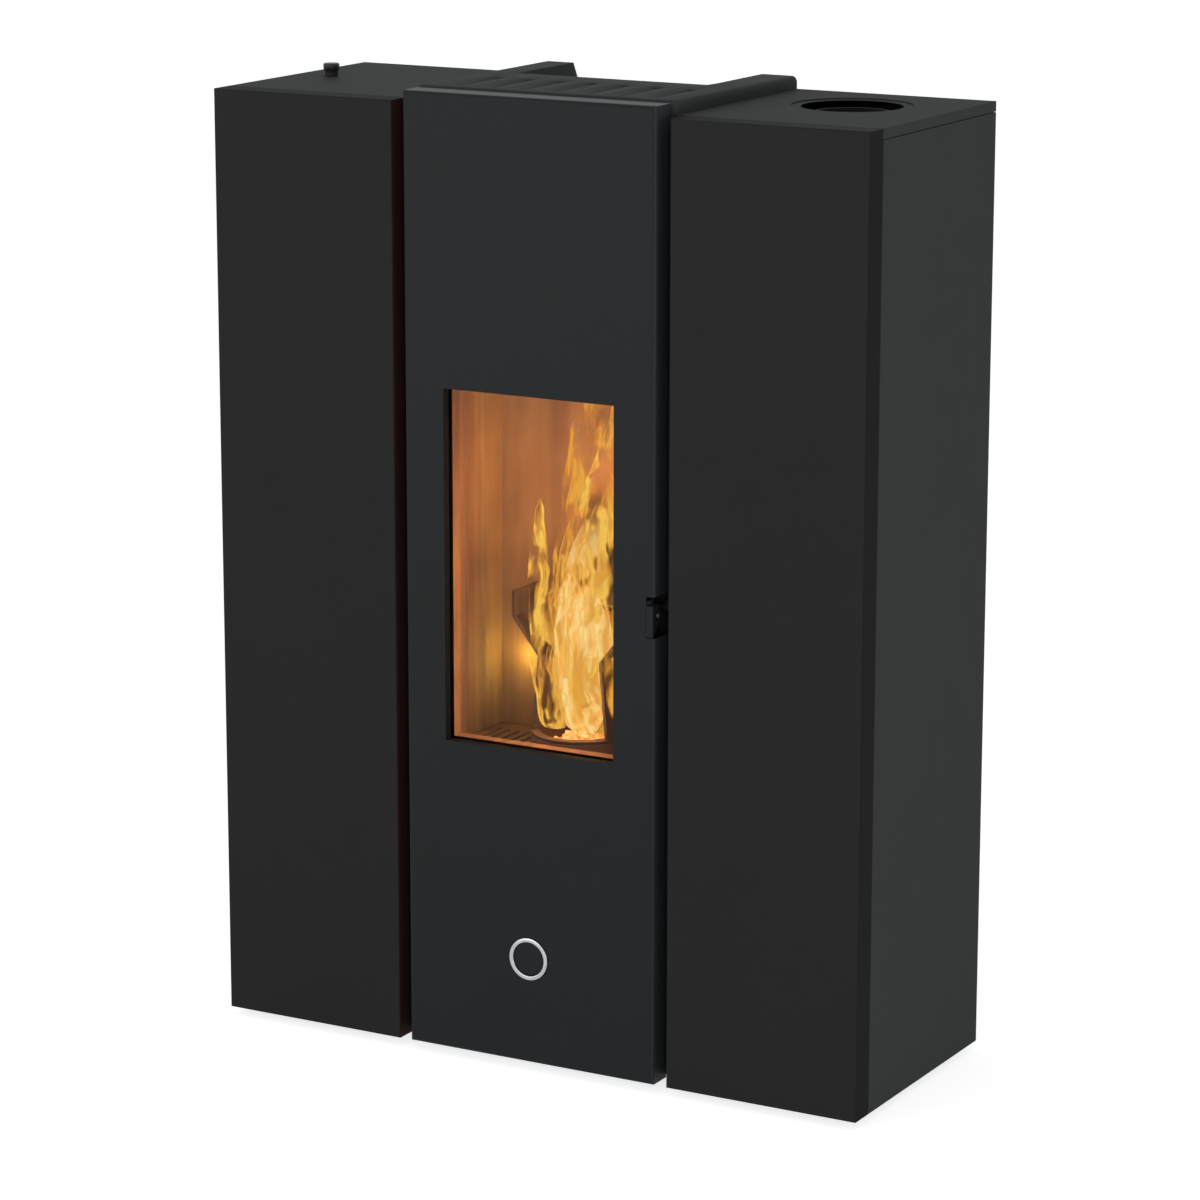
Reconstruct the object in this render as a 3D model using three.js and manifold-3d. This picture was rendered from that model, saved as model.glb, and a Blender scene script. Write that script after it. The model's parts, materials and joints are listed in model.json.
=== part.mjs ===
// A slim pellet stove: a full-height front door between two front panels, a pellet hopper in
// the left bay, the fire chamber in the middle, and the smoke fan with its top flue in the
// right bay. Millimetres, +Z up, +Y to the back. The shapes are written in the panel frame,
// where y = 0 is the face of the front panels and z = 0 their lower edge, and the group at
// the end moves them to the stove's own origin, the middle of its footprint on the floor.
import * as THREE from 'three';
import { mergeVertices } from 'three/addons/utils/BufferGeometryUtils.js';
import Module from 'manifold-3d';

const wasm = await Module();
wasm.setup();

// ---- Driving dimensions ----
const stoveWidth = 830;
const stoveDepth = 329;
const footHeight = 10;
const panelHeight = 1100;
const doorProud = 2.6; // the door stands this far in front of the panels
const ringProud = 2.3; // and the button's ring this far in front of the door
const sheet = 2;
const gap = 0.4; // between pieces that touch

const side = stoveWidth / 2;
const back = stoveDepth - doorProud - ringProud;
const panelEdge = 177; // the front panels run from here to the sides
const panelDepth = 33;
const coverJoint = 1088; // side panels end and top covers begin here
const crownTop = 1114.5;
const crownHalf = 167;
const rearPanelFace = 302;

const door = { half: 161, low: 0.6, top: 1112.5, back: 31, radius: 5 };
const hinge = { x: -150, y: 6, pin: 3, lug: 6.2, low: 28, high: 1066, length: 22 };
const glazing = { half: 109.5, low: 371.5, high: 780, lap: 7.5, face: 10.3, thick: 4 };
const latch = { y: 12, z: 546, pin: 3, left: 153.8, right: 158.2 };
const button = { z: 126, cap: 19.8, ring: 25 };
const chamber = { half: 150, back: 191, floor: 343, lining: 8, low: 246, high: 903 };
const shellHalf = chamber.half + chamber.lining + gap + sheet;
const shellBack = chamber.back + chamber.lining + gap + sheet;
const pot = { y: 118, radius: 49.5, rim: 370, low: 333 };
const lidHinge = { x: -182, z: 1092, rod: 3 };
const auger = { x: -300, y: 256, z: 455, angle: 38, tube: 28, bore: 26, flight: 24 };
const flue = { x: 291, y: 213, hole: 57, pipe: 40 };
const intake = { x: 60, z: 290, radius: 25 };
const smokeFan = { x: 243, z: 190, front: 185, back: 241 };
const roomFan = { y: 190, z: 120, radius: 34, half: 110 };

const steps = { small: 8, medium: 14, large: 28 };
const degrees = Math.PI / 180;

// ---- Materials ----
function finish(color, roughness, metalness) {
  return new THREE.MeshStandardMaterial({ color, roughness, metalness });
}
const paint = {
  panel: finish(0x2c2c2c, 0.55, 0.1),
  door: finish(0x2a2d2e, 0.5, 0.1),
  cover: finish(0x303332, 0.55, 0.1),
  black: finish(0x101112, 0.8, 0.0),
  chamber: finish(0x6b4a35, 0.85, 0.2),
  castIron: finish(0x4a3a32, 0.8, 0.4),
  steel: finish(0x9a9da0, 0.4, 0.9),
  bright: finish(0xd6d8da, 0.25, 1.0),
  rubber: finish(0x161616, 0.9, 0.0),
  rope: finish(0x8c8a84, 0.95, 0.0),
  plastic: finish(0x1b1c1e, 0.6, 0.0),
  glass: finish(0x2a2622, 0.05, 0.0),
};
paint.glass.transparent = true;
paint.glass.opacity = 0.3;

// ---- Solids ----
function toSolid(geometry) {
  const bare = geometry.clone();
  bare.deleteAttribute('normal');
  bare.deleteAttribute('uv');
  const merged = mergeVertices(bare, 1e-4);
  const place = merged.attributes.position;
  const corner = (i) => new THREE.Vector3().fromBufferAttribute(place, i);
  const faces = [];
  let volume = 0;
  for (let i = 0; i < merged.index.count; i += 3) {
    const [a, b, c] = [0, 1, 2].map((k) => merged.index.getX(i + k));
    if (a === b || b === c || c === a) continue;
    faces.push([a, b, c]);
    volume += corner(a).dot(corner(b).cross(corner(c)));
  }
  const facing = volume < 0 ? faces.map(([a, b, c]) => [a, c, b]) : faces;
  return new wasm.Manifold(new wasm.Mesh({
    numProp: 3,
    vertProperties: new Float32Array(place.array),
    triVerts: new Uint32Array(facing.flat()),
  }));
}

function toMesh(name, solid, material) {
  const { vertProperties, triVerts } = solid.getMesh();
  const geometry = new THREE.BufferGeometry();
  geometry.setAttribute('position', new THREE.BufferAttribute(new Float32Array(vertProperties), 3));
  geometry.setIndex(new THREE.BufferAttribute(new Uint32Array(triVerts), 1));
  geometry.computeVertexNormals();
  const mesh = new THREE.Mesh(geometry, material);
  mesh.name = name;
  return mesh;
}

function join(solids) {
  return solids.reduce((whole, piece) => whole.add(piece));
}

function cut(solid, tools) {
  return tools.reduce((rest, tool) => rest.subtract(tool), solid);
}

// A box between two limits along each axis.
function block([x0, x1], [y0, y1], [z0, z1]) {
  const geometry = new THREE.BoxGeometry(x1 - x0, y1 - y0, z1 - z0);
  geometry.translate((x0 + x1) / 2, (y0 + y1) / 2, (z0 + z1) / 2);
  return toSolid(geometry);
}

// A closed outline from [a, b, radius] corners, each radius drawn as a true arc.
function outline(corners, Kind = THREE.Shape) {
  const shape = new Kind();
  const points = corners.map(([a, b]) => new THREE.Vector2(a, b));
  corners.forEach(([, , radius = 0], i) => {
    const here = points[i];
    if (!radius) {
      if (i) shape.lineTo(here.x, here.y);
      else shape.moveTo(here.x, here.y);
      return;
    }
    const before = points.at(i - 1).clone().sub(here).normalize();
    const after = points[(i + 1) % points.length].clone().sub(here).normalize();
    const half = Math.acos(THREE.MathUtils.clamp(before.dot(after), -1, 1)) / 2;
    const middle = before.clone().add(after).normalize();
    const centre = here.clone().addScaledVector(middle, radius / Math.sin(half));
    const start = here.clone().addScaledVector(before, radius / Math.tan(half)).sub(centre);
    const end = here.clone().addScaledVector(after, radius / Math.tan(half)).sub(centre);
    const clockwise = start.cross(end) < 0;
    if (i) shape.lineTo(centre.x + start.x, centre.y + start.y);
    shape.absarc(centre.x, centre.y, radius, start.angle(), end.angle(), clockwise);
  });
  shape.closePath();
  return shape;
}

const framesOfAxis = {
  x: new THREE.Matrix4().makeBasis(
    new THREE.Vector3(0, 1, 0), new THREE.Vector3(0, 0, 1), new THREE.Vector3(1, 0, 0)),
  y: new THREE.Matrix4().makeBasis(
    new THREE.Vector3(1, 0, 0), new THREE.Vector3(0, 0, 1), new THREE.Vector3(0, -1, 0)),
  z: new THREE.Matrix4(),
};

// An outline swept along an axis: it lies in (y, z) for x, in (x, z) for y, in (x, y) for z.
function prism(axis, shape, [from, to], curveSegments = 4) {
  const geometry = new THREE.ExtrudeGeometry(shape, {
    depth: to - from, bevelEnabled: false, curveSegments,
  });
  geometry.translate(0, 0, axis === 'y' ? -to : from);
  geometry.applyMatrix4(framesOfAxis[axis]);
  return toSolid(geometry);
}

const axisTurns = { x: ['rotateZ', -90], y: ['rotateX', 0], z: ['rotateX', 90] };

// A profile of [radius, distance along the axis] turned round an axis through a point.
function turned(axis, profile, [x, y, z], segments = steps.medium) {
  const points = profile.map(([radius, along]) => new THREE.Vector2(radius, along));
  const geometry = new THREE.LatheGeometry(points, segments);
  const [turn, angle] = axisTurns[axis];
  geometry[turn](angle * degrees);
  geometry.translate(x, y, z);
  return toSolid(geometry);
}

function rod(axis, radius, [from, to], centre, segments = steps.medium) {
  return turned(axis, [[0, from], [radius, from], [radius, to], [0, to]], centre, segments);
}

function ring(axis, outer, inner, [from, to], centre, segments = steps.large) {
  const profile = [[inner, from], [outer, from], [outer, to], [inner, to], [inner, from]];
  return turned(axis, profile, centre, segments);
}

// A box made of sheet, open on the side that the inner box runs out of.
function tray(xs, ys, zs, inner) {
  return block(xs, ys, zs).subtract(block(...inner));
}

// A folded front pan: rounded towards the room, open to the back.
function frontPan([x0, x1], [y0, y1], [z0, z1], radius) {
  const plan = outline([[x0, y1], [x0, y0, radius], [x1, y0, radius], [x1, y1]]);
  const flank = outline([[y1, z0], [y1, z1], [y0, z1, radius], [y0, z0, radius]]);
  const inner = [[x0 + sheet, x1 - sheet], [y0 + sheet, y1 + 1], [z0 + sheet, z1 - sheet]];
  return prism('z', plan, [z0, z1]).intersect(prism('x', flank, [x0, x1])).subtract(block(...inner));
}

// A flat frame between an outer and an inner rectangle, swept along y.
function borderY([x, low, high], [innerX, innerLow, innerHigh], ys, radius = 0) {
  const shape = outline([[-x, low, radius], [x, low, radius], [x, high, radius], [-x, high, radius]]);
  const hole = [[-innerX, innerLow], [innerX, innerLow], [innerX, innerHigh], [-innerX, innerHigh]];
  shape.holes.push(outline(hole, THREE.Path));
  return prism('y', shape, ys);
}

// A solid through rectangles [x0, x1, y0, y1, z] stacked upwards.
function stacked(levels) {
  const corners = levels.flatMap(([x0, x1, y0, y1, z]) => [x0, y0, z, x1, y0, z, x1, y1, z, x0, y1, z]);
  const faces = [[0, 2, 1], [0, 3, 2]];
  for (let level = 0; level < levels.length - 1; level += 1) {
    for (let k = 0; k < 4; k += 1) {
      const [a, b] = [level * 4 + k, level * 4 + ((k + 1) % 4)];
      faces.push([a, b, b + 4], [a, b + 4, a + 4]);
    }
  }
  const last = (levels.length - 1) * 4;
  faces.push([last, last + 1, last + 2], [last, last + 2, last + 3]);
  const geometry = new THREE.BufferGeometry();
  geometry.setAttribute('position', new THREE.Float32BufferAttribute(corners, 3));
  geometry.setIndex(faces.flat());
  return toSolid(geometry);
}

function mirrored([low, high], sign) {
  return sign > 0 ? [low, high] : [-high, -low];
}

// ---- Casing ----
const footPlaces = { front_left: [-380, 75], front_right: [380, 75], rear_left: [-380, 270],
  rear_right: [380, 270] };
const footStud = 5;

function baseTray() {
  const inset = side - sheet - gap;
  const [front, rear, low, rise] = [36, rearPanelFace - gap, sheet + gap, 28];
  const pan = tray([-inset, inset], [front, rear], [low, low + rise],
    [[sheet - inset, inset - sheet], [front + sheet, rear - sheet], [low + sheet, low + rise + 1]]);
  const holes = Object.values(footPlaces).map(([x, y]) => rod('z', footStud + gap, [0, 10], [x, y, 0]));
  const doorSwing = block([-176, 176], [front - 1, front + 4], [12, low + rise + 1]);
  return cut(pan, [...holes, doorSwing]);
}

function levellingFoot([x, y]) {
  const [pad, nut] = [20, 9];
  const profile = [[0, -footHeight], [pad, -footHeight], [pad, -6.5], [nut, -4.5], [nut, sheet],
    [footStud, sheet], [footStud, 22], [0, 22]];
  return turned('z', profile, [x, y, 0]);
}

function sidePanel(sign) {
  const lip = 16;
  const [front, top] = [panelDepth + gap, coverJoint - gap];
  return tray(mirrored([side - lip, side], sign), [front, back], [0, top],
    [mirrored([side - lip - 1, side - sheet], sign), [front + sheet, back - sheet], [sheet, top - sheet]]);
}

function frontPanel(sign) {
  return frontPan(mirrored([panelEdge, side], sign), [0, panelDepth], [0, panelHeight], 2);
}

function ventSlots(firstX, [low, high]) {
  const [count, pitch, width] = [12, 11, 3.4];
  return Array.from({ length: count }, (_, i) => {
    const x = firstX + i * pitch;
    return block([x, x + width], [rearPanelFace - 1, rearPanelFace + 3], [low, high]);
  });
}

const mainsPlace = { x: 340, inletZ: 70, switchZ: 118 };

function rearPanel() {
  const inset = side - sheet - gap;
  const ys = [rearPanelFace, rearPanelFace + sheet];
  const plate = block([-inset, inset], ys, [sheet + gap, coverJoint - 10]);
  const through = [rearPanelFace - 1, rearPanelFace + 3];
  const window = (halfX, z, halfZ) =>
    block([mainsPlace.x - halfX, mainsPlace.x + halfX], through, [z - halfZ, z + halfZ]);
  return cut(plate, [
    ...ventSlots(-180, [60, 180]), ...ventSlots(-66, [820, 940]),
    rod('y', intake.radius + gap, through, [intake.x, 0, intake.z], steps.large),
    window(14.4, mainsPlace.inletZ, 10.4),
    window(11.4, mainsPlace.switchZ, 15.4),
  ]);
}

// The catch on the right post: a plate that comes forward and a pin for the latch's hook.
function latchCatch() {
  return join([
    block([163.4, 172], [22, 41], [550.2, 562]),
    rod('x', 2.8, [152.8, 165], [0, 28, 553]),
  ]);
}

// An angle post behind the door's edge, cut back where the fire chamber's flange passes.
function upright(sign) {
  const [face, web, low, top] = [40, 30, 5, coverJoint - 10];
  const flange = block(mirrored([142, 174], sign), [face, face + sheet], [low, top]);
  const rib = block(mirrored([174 - sheet, 174], sign), [face, face + web], [low, top]);
  const clearance = block(mirrored([130, shellHalf + 1], sign), [face - 1, face + 3], [231, 912]);
  return flange.add(rib).subtract(clearance);
}

function rightTopCover() {
  const [left, front, low] = [crownHalf + 0.6, panelDepth + gap, coverJoint + gap];
  const lid = tray([left, side], [front, back], [low, panelHeight],
    [[left + sheet, side - sheet], [front + sheet, back - sheet], [low - 1, panelHeight - sheet]]);
  const [rim, depth] = [68, 1.5];
  const at = [flue.x, flue.y, 0];
  const bowl = rod('z', rim + sheet, [panelHeight - sheet - depth, panelHeight - sheet], at, steps.large);
  return lid.add(bowl)
    .subtract(rod('z', rim, [panelHeight - depth, panelHeight + 1], at, steps.large))
    .subtract(rod('z', flue.hole, [panelHeight - 9, panelHeight + 1], at, steps.large));
}

function hopperLid() {
  const [front, low, hingeEdge] = [panelDepth + gap, coverJoint + gap, -172];
  const cover = tray([-side, hingeEdge], [front, back], [low, panelHeight],
    [[sheet - side, hingeEdge + 1], [front + sheet, back - sheet], [low - 1, panelHeight - sheet]]);
  const { x, z } = lidHinge;
  const ear = outline([[x - 6, panelHeight - 1], [x - 6, z - 6, 5.9], [x + 6, z - 6, 5.9],
    [x + 6, panelHeight - 1]]);
  const ears = [[44, 48], [296, 300]].map((ys) => prism('y', ear, ys));
  return join([cover, ...ears])
    .subtract(rod('y', lidHinge.rod + gap, [40, 310], [x, 0, z]))
    .subtract(rod('z', 3 + gap, [panelHeight - 5, panelHeight + 1], [knobPlace.x, knobPlace.y, 0]));
}

const knobPlace = { x: -367, y: 175 };

function lidKnob() {
  const foot = panelHeight + 0.3;
  const profile = [[0, foot - 7], [3, foot - 7], [3, foot], [8, foot], [8, foot + 6], [9.5, foot + 9],
    [9.5, foot + 13.5], [8.5, foot + 15], [0, foot + 15]];
  return turned('z', profile, [knobPlace.x, knobPlace.y, 0]);
}

function lidSeal() {
  const [outer, width] = [{ x: [-398, -202], y: [48, 292] }, 8];
  const zs = [coverJoint - 2.8, panelHeight - sheet - 0.3];
  const shrink = ([low, high]) => [low + width, high - width];
  const hole = block(shrink(outer.x), shrink(outer.y), [zs[0] - 1, zs[1] + 1]);
  return block(outer.x, outer.y, zs).subtract(hole);
}

// A plate on the hopper's inner wall with two ears and the rod riveted into them.
function lidHingeBracket() {
  const { x, z } = lidHinge;
  const [wall, low] = [-193.5, 1040];
  const plate = block([wall, wall + sheet], [50, 294], [low, coverJoint - 6]);
  const ear = outline([[wall, low + 10], [wall + sheet, low + 10], [x + 5, z - 8, 2], [x + 5, z + 5, 4.9],
    [x - 5, z + 5, 4.9], [wall, coverJoint - 6]]);
  const ears = [[52, 55], [289, 292]].map((ys) => prism('y', ear, ys));
  return join([plate, ...ears, rod('y', lidHinge.rod, [41, 303], [x, 0, z])]);
}

// ---- Top grille: a pressed crown with seven louvres, and a recess open to the back ----
const crown = { front: 36.5, recess: 194, arm: 24, slope: 24, floor: 1094, skirt: coverJoint, louvres: 7,
  pitch: 41.3, louvreFrom: 52, louvreTo: 146, vane: 24, drop: 3.8, slit: 3.2 };

function crownBody(inset) {
  const half = crownHalf - inset;
  const top = crownTop - inset;
  const section = outline([[-half, crown.skirt - 1], [half, crown.skirt - 1], [half, top, 7 - inset],
    [-half, top, 7 - inset]]);
  const flank = outline([[back - inset, crown.skirt], [back - inset, top, 4 - inset / 2],
    [crown.front + inset, top, 4 - inset / 2], [crown.front + inset, crown.skirt]]);
  return prism('y', section, [crown.front, back]).intersect(prism('x', flank, [-crownHalf, crownHalf]));
}

function crownRecess(inset) {
  const top = crownHalf - crown.arm + inset;
  const floor = top - crown.slope;
  const run = crown.slope * ((crownTop + 1 - crown.floor + inset) / (crownTop - crown.floor));
  return stacked([
    [-floor, floor, crown.recess + crown.slope - inset, back + 9, crown.floor - inset],
    [-floor - run, floor + run, crown.recess + crown.slope - inset - run, back + 9, crownTop + 1],
  ]);
}

// One louvre: the sheet is slit along y and its left side is pressed down to the slit.
function louvre(x) {
  const { vane, drop, slit, louvreFrom, louvreTo } = crown;
  const ys = [louvreFrom, louvreTo];
  const under = crownTop - sheet;
  const opening = outline([[x - vane, crownTop + 1], [x - vane, under - 1], [x + slit, under - 1],
    [x + slit, crownTop + 1]]);
  const pressed = outline([[x - vane - 0.5, crownTop], [x - vane, crownTop], [x, crownTop - drop],
    [x, under - drop], [x - vane, under], [x - vane - 0.5, under]]);
  return { opening: prism('y', opening, ys), pressed: prism('y', pressed, ys) };
}

function topGrille() {
  const shell = crownBody(0).subtract(crownRecess(0))
    .subtract(crownBody(sheet).subtract(crownRecess(sheet)));
  const first = -(crown.louvres - 1) / 2;
  const louvres = Array.from({ length: crown.louvres }, (_, i) => louvre((first + i) * crown.pitch + 6));
  return join([cut(shell, louvres.map((item) => item.opening)), ...louvres.map((item) => item.pressed)]);
}

// ---- Door ----
const latchNotch = [[150.8, 163], [-4, 33], [522, 569]];

function doorSkin() {
  const pan = frontPan([-door.half, door.half], [-doorProud, door.back], [door.low, door.top], door.radius);
  const { half, low, high } = glazing;
  const reveal = borderY([half + sheet, low - sheet, high + sheet], [half, low, high], [-doorProud, 8]);
  const opening = block([-half, half], [-9, 9], [low, high]);
  const notches = [hinge.low - 5.6, hinge.high - 1.6].map((z) =>
    block([-door.half - 1, 1.4 - door.half + sheet], [0, door.back + 1], [z, z + 7.2]));
  const ringHole = rod('y', 21.5, [-9, 9], [0, 0, button.z], steps.large);
  return cut(pan.subtract(opening).add(reveal), [ringHole, block(...latchNotch), ...notches]);
}

// The steel frame that stiffens the door, clamps the glass and carries the rope seal.
const frameBack = 30;
function doorFrame() {
  const [half, low, high] = [140, 232, 909];
  const pan = tray([-half, half], [0, frameBack], [low, high],
    [[sheet - half, half - sheet], [-1, frameBack - sheet], [low + sheet, high - sheet]]);
  const clampFace = glazing.face + glazing.thick + gap;
  const outer = [glazing.half + 1.5, glazing.low - 1.5, glazing.high + 1.5];
  const inner = [glazing.half - 1.5, glazing.low + 1.5, glazing.high - 1.5];
  const clamp = borderY(outer, inner, [clampFace, frameBack - 1]);
  const opening = block([-inner[0], inner[0]], [-2, frameBack + 1], [inner[1], inner[2]]);
  return pan.add(clamp).subtract(opening);
}

function windowGlass() {
  const { half, low, high, lap, face, thick } = glazing;
  return block([-half - lap, half + lap], [face, face + thick], [low - lap, high + lap]);
}

function glassGasket() {
  const { half, low, high, lap, face } = glazing;
  const outer = [half + lap, low - lap, high + lap];
  return borderY(outer, [half + 0.5, low - 0.5, high + 0.5], [8.3, face - 0.3]);
}

function ropeSeal() {
  return borderY([137, 236.5, 905], [129, 244.5, 897], [frameBack + gap, 39.5], 6);
}

// A hinge eye on a plate behind the door's skin.
function hingeLug(low) {
  const { x, y, lug, pin, length } = hinge;
  const face = sheet - doorProud + 0.3;
  const zs = [low, low + length - 1];
  return rod('z', lug, zs, [x, y, 0]).add(block([x - 7, x + 7], [face, face + 2], zs))
    .subtract(rod('z', pin + gap, [low - 1, low + length], [x, y, 0]));
}

// An arm from the upright into the pan of the door, with the pin that the lug turns on.
function hingeBracket(armLow, upward) {
  const { x, y, pin, length } = hinge;
  const arm = outline([[x - 5, 39.6], [x - 5, y - 5, 4.9], [x + 5, y - 5, 4.9], [x + 5, 39.6]]);
  const armZ = [armLow, armLow + 4];
  const pinZ = upward ? [armLow + 2, armLow + length + 2] : [armLow + 2 - length, armLow + 2];
  const tabZ = upward ? [armLow, armLow + 34] : [armLow - 30, armLow + 4];
  return join([prism('z', arm, armZ), rod('z', pin, pinZ, [x, y, 0]),
    block([x - 8, x + 8], [36.4, 39.6], tabZ)]);
}

// The lever: a finger tab in the door's face, a web with a hole, and a hook at the back.
function latchLever() {
  const web = outline([[-3.4, 523], [2, 523], [12, 536, 4], [38.5, 538, 2], [38.5, 549.4, 1.5],
    [33.5, 549.4, 1.5], [31, 546], [22, 547, 3], [14, 559, 4], [-3.4, 559]]);
  web.holes.push(new THREE.Path().absarc(3.6, 548, 3.4, 0, 2 * Math.PI, true));
  const plate = prism('x', web, [latch.left, latch.right]);
  const tab = block([151.6, 160], [-3.4, -0.9], [523, 559]);
  return plate.add(tab).subtract(rod('x', latch.pin + gap, [140, 170], [0, latch.y, latch.z]));
}

function latchBracket() {
  const [wall, face] = [146, sheet - doorProud + 0.3];
  return join([
    block([wall, wall + 3], [face, 20], [530, 562]),
    block([142.6, wall + 1], [face, face + 2], [530, 562]),
    rod('x', 5, [wall + 2, latch.left - gap], [0, latch.y, latch.z]),
    rod('x', latch.pin, [wall + 2, 160.2], [0, latch.y, latch.z]),
  ]);
}

// The button's ring and, behind the door's skin, its barrel and switch.
function buttonBezel() {
  const seat = -doorProud - 0.3;
  const face = -doorProud - ringProud;
  const profile = [[0, 13], [20.2, 13], [20.2, face + 0.6], [21, face], [button.ring - 0.9, face],
    [button.ring, face + 0.9], [button.ring, seat], [21.1, seat], [21.1, 16], [12, 17], [12, 24], [0, 24]];
  return turned('y', profile, [0, 0, button.z], steps.large);
}

function powerButton() {
  const profile = [[0, -3.8], [button.cap - 1.2, -3.8], [button.cap, -3], [button.cap, 6], [0, 6]];
  return turned('y', profile, [0, 0, button.z], steps.large);
}

// ---- Fire chamber ----
const drawerDoor = [248.2, 330];
const fireDoor = [352, 889];
const chuteHole = [[-29, 29], [180, 210], [496, 592]];
const igniterZ = 352;

function fireboxShell() {
  const flange = { half: 161, low: 232, high: 911, face: 40, opening: 125 };
  const box = block([-shellHalf, shellHalf], [flange.face, shellBack], [chamber.low, chamber.high]);
  const plate = block([-flange.half, flange.half], [flange.face, flange.face + sheet],
    [flange.low, flange.high]);
  const inner = block([sheet - shellHalf, shellHalf - sheet], [flange.face + sheet, shellBack - sheet],
    [chamber.low + sheet, chamber.high - sheet]);
  const ledges = [-1, 1].map((sign) => block(mirrored([chamber.half, shellHalf - 1], sign),
    [flange.face + 1, shellBack - 1], [333, 336.6]));
  const doors = [drawerDoor, fireDoor].map((zs) =>
    block([-flange.opening, flange.opening], [flange.face - 1, flange.face + 3], zs));
  return cut(join([box.add(plate).subtract(inner), ...ledges]), [
    ...doors, block(...chuteHole),
    rod('y', 6.6, [180, 210], [0, 0, igniterZ]),
    rod('y', intake.radius + gap, [190, 210], [intake.x, 0, intake.z], steps.large),
    block([shellHalf - 3, shellHalf + 1], [80, 150], [256, 290]),
  ]);
}

function backLiner() {
  const { half, back: face, floor, lining } = chamber;
  const plate = block([-half, half], [face, face + lining], [floor + 0.6, 845]);
  return cut(plate, [block(...chuteHole), rod('y', 6.6, [180, 210], [0, 0, igniterZ])]);
}

// A side liner with an upright rib and a thicker rear part, as the left one shows.
function sideLiner(sign) {
  const { half, back: rear, floor, lining } = chamber;
  const outer = half + lining;
  const edge = rear - 0.4;
  const plan = [[outer, 43], [half, 43], [half, 112], [half - 2.5, 113.5], [half - 2.5, 116.5], [half, 118],
    [half, 148], [half - 3, 151], [half - 3, edge], [outer, edge]];
  const shape = outline(plan.map(([x, y]) => [sign * x, y]));
  return prism('z', shape, [floor + 0.6, 845]);
}

function baffle() {
  const section = outline([[198, 845.4], [198, 851.4], [68, 851.4], [57, 867], [52.5, 863.5], [65, 845.4]]);
  return prism('x', section, [-157, 157]);
}

function hearthPlate() {
  const plate = block([-158, 158], [42.6, 198.6], [chamber.floor - 6, chamber.floor]);
  const collar = rod('z', 58, [chamber.floor - 1, pot.rim - 4.4], [0, pot.y, 0], steps.large);
  const through = [chamber.floor - 8, chamber.floor + 1];
  const slots = [-1, 1].flatMap((sign) => [0, 1, 2, 3, 4].map((i) =>
    block(mirrored([82 + i * 13, 85.6 + i * 13], sign), [70, 166], through)));
  return cut(plate.add(collar), [
    ...slots,
    rod('z', pot.radius + 1.5, [chamber.floor - 9, pot.rim], [0, pot.y, 0], steps.large),
    rod('y', 6.8, [pot.y + 40, pot.y + 64], [0, 0, igniterZ]),
  ]);
}

function burnPot() {
  const { y, radius, rim, low } = pot;
  const profile = [[0, low], [radius - 5, low], [radius - 2, low + 3], [radius, rim - 4], [57, rim - 4],
    [57, rim], [radius - 3.5, rim], [radius - 6, low + 5], [0, low + 5]];
  const cup = turned('z', profile, [0, y, 0], steps.large);
  const airHoles = Array.from({ length: 8 }, (_, i) => {
    const angle = i * 45 * degrees;
    const place = [26 * Math.cos(angle), y + 26 * Math.sin(angle), 0];
    return rod('z', 3, [low - 1, low + 6], place, steps.small);
  });
  return cut(cup, [...airHoles, rod('y', 6, [y + 30, y + 60], [0, 0, igniterZ], steps.small)]);
}

// A flared wing on the pot's rim: an upright lip over a leaning plate.
function potWing(sign) {
  const foot = pot.rim + 0.4;
  const section = [[76, 532], [72, 532], [72, 502], [38, 459], [46, foot], [50.2, foot], [42.3, 458],
    [76, 500.4]];
  return prism('y', outline(section.map(([x, z]) => [sign * x, z])), [92, 150]);
}

function ashDrawer() {
  const [half, front, rear, low, high, wall] = [118, 44, 190, chamber.low + sheet + 0.6, 322, 1.6];
  const pan = tray([-half, half], [front, rear], [low, high],
    [[wall - half, half - wall], [front + wall, rear - wall], [low + wall, high + 1]]);
  const grip = outline([[front + 1, high - 10], [front - 12, high - 14, 2], [front - 12, high - 24, 2],
    [front - 10, high - 24], [front - 10, high - 15.5, 1], [front + 1, high - 12.5]]);
  return pan.add(prism('x', grip, [-40, 40]));
}

function igniter() {
  return rod('y', 5.5, [172, 262], [0, 0, igniterZ]).add(rod('y', 9, [240, 262], [0, 0, igniterZ]));
}

function heatExchanger() {
  const base = chamber.high + gap;
  const fins = Array.from({ length: 9 }, (_, i) =>
    block([-130 + i * 32, -127 + i * 32], [62, 188], [base + 2, base + 44]));
  return join([block([-150, 150], [56, 194], [base, base + 4]), ...fins]);
}

// ---- Pellet feed ----
const augerFrame = new THREE.Matrix4().makeTranslation(auger.x, auger.y, auger.z)
  .multiply(new THREE.Matrix4().makeRotationY(-auger.angle * degrees));
const augerRun = { low: -42, high: 412, outlet: 380 };

// The space that the auger tube takes, for the saddles of its neighbours.
function augerClearance() {
  const geometry = new THREE.CylinderGeometry(auger.tube + gap, auger.tube + gap, 700, steps.large);
  geometry.rotateZ(90 * degrees);
  geometry.translate(200, 0, 0);
  geometry.applyMatrix4(augerFrame);
  return toSolid(geometry);
}

function hopper() {
  const rim = coverJoint - 3.4;
  const mouth = [-406, -194, 40, 298];
  const throat = [-333, -267, 223, 289];
  const levels = (inset, low, high) => [[throat, low], [throat, 530], [mouth, 720], [mouth, high]]
    .map(([[x0, x1, y0, y1], z]) => [x0 + inset, x1 - inset, y0 + inset, y1 - inset, z]);
  return stacked(levels(0, 452, rim)).subtract(stacked(levels(sheet, 451, rim + 1)))
    .subtract(augerClearance());
}

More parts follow.
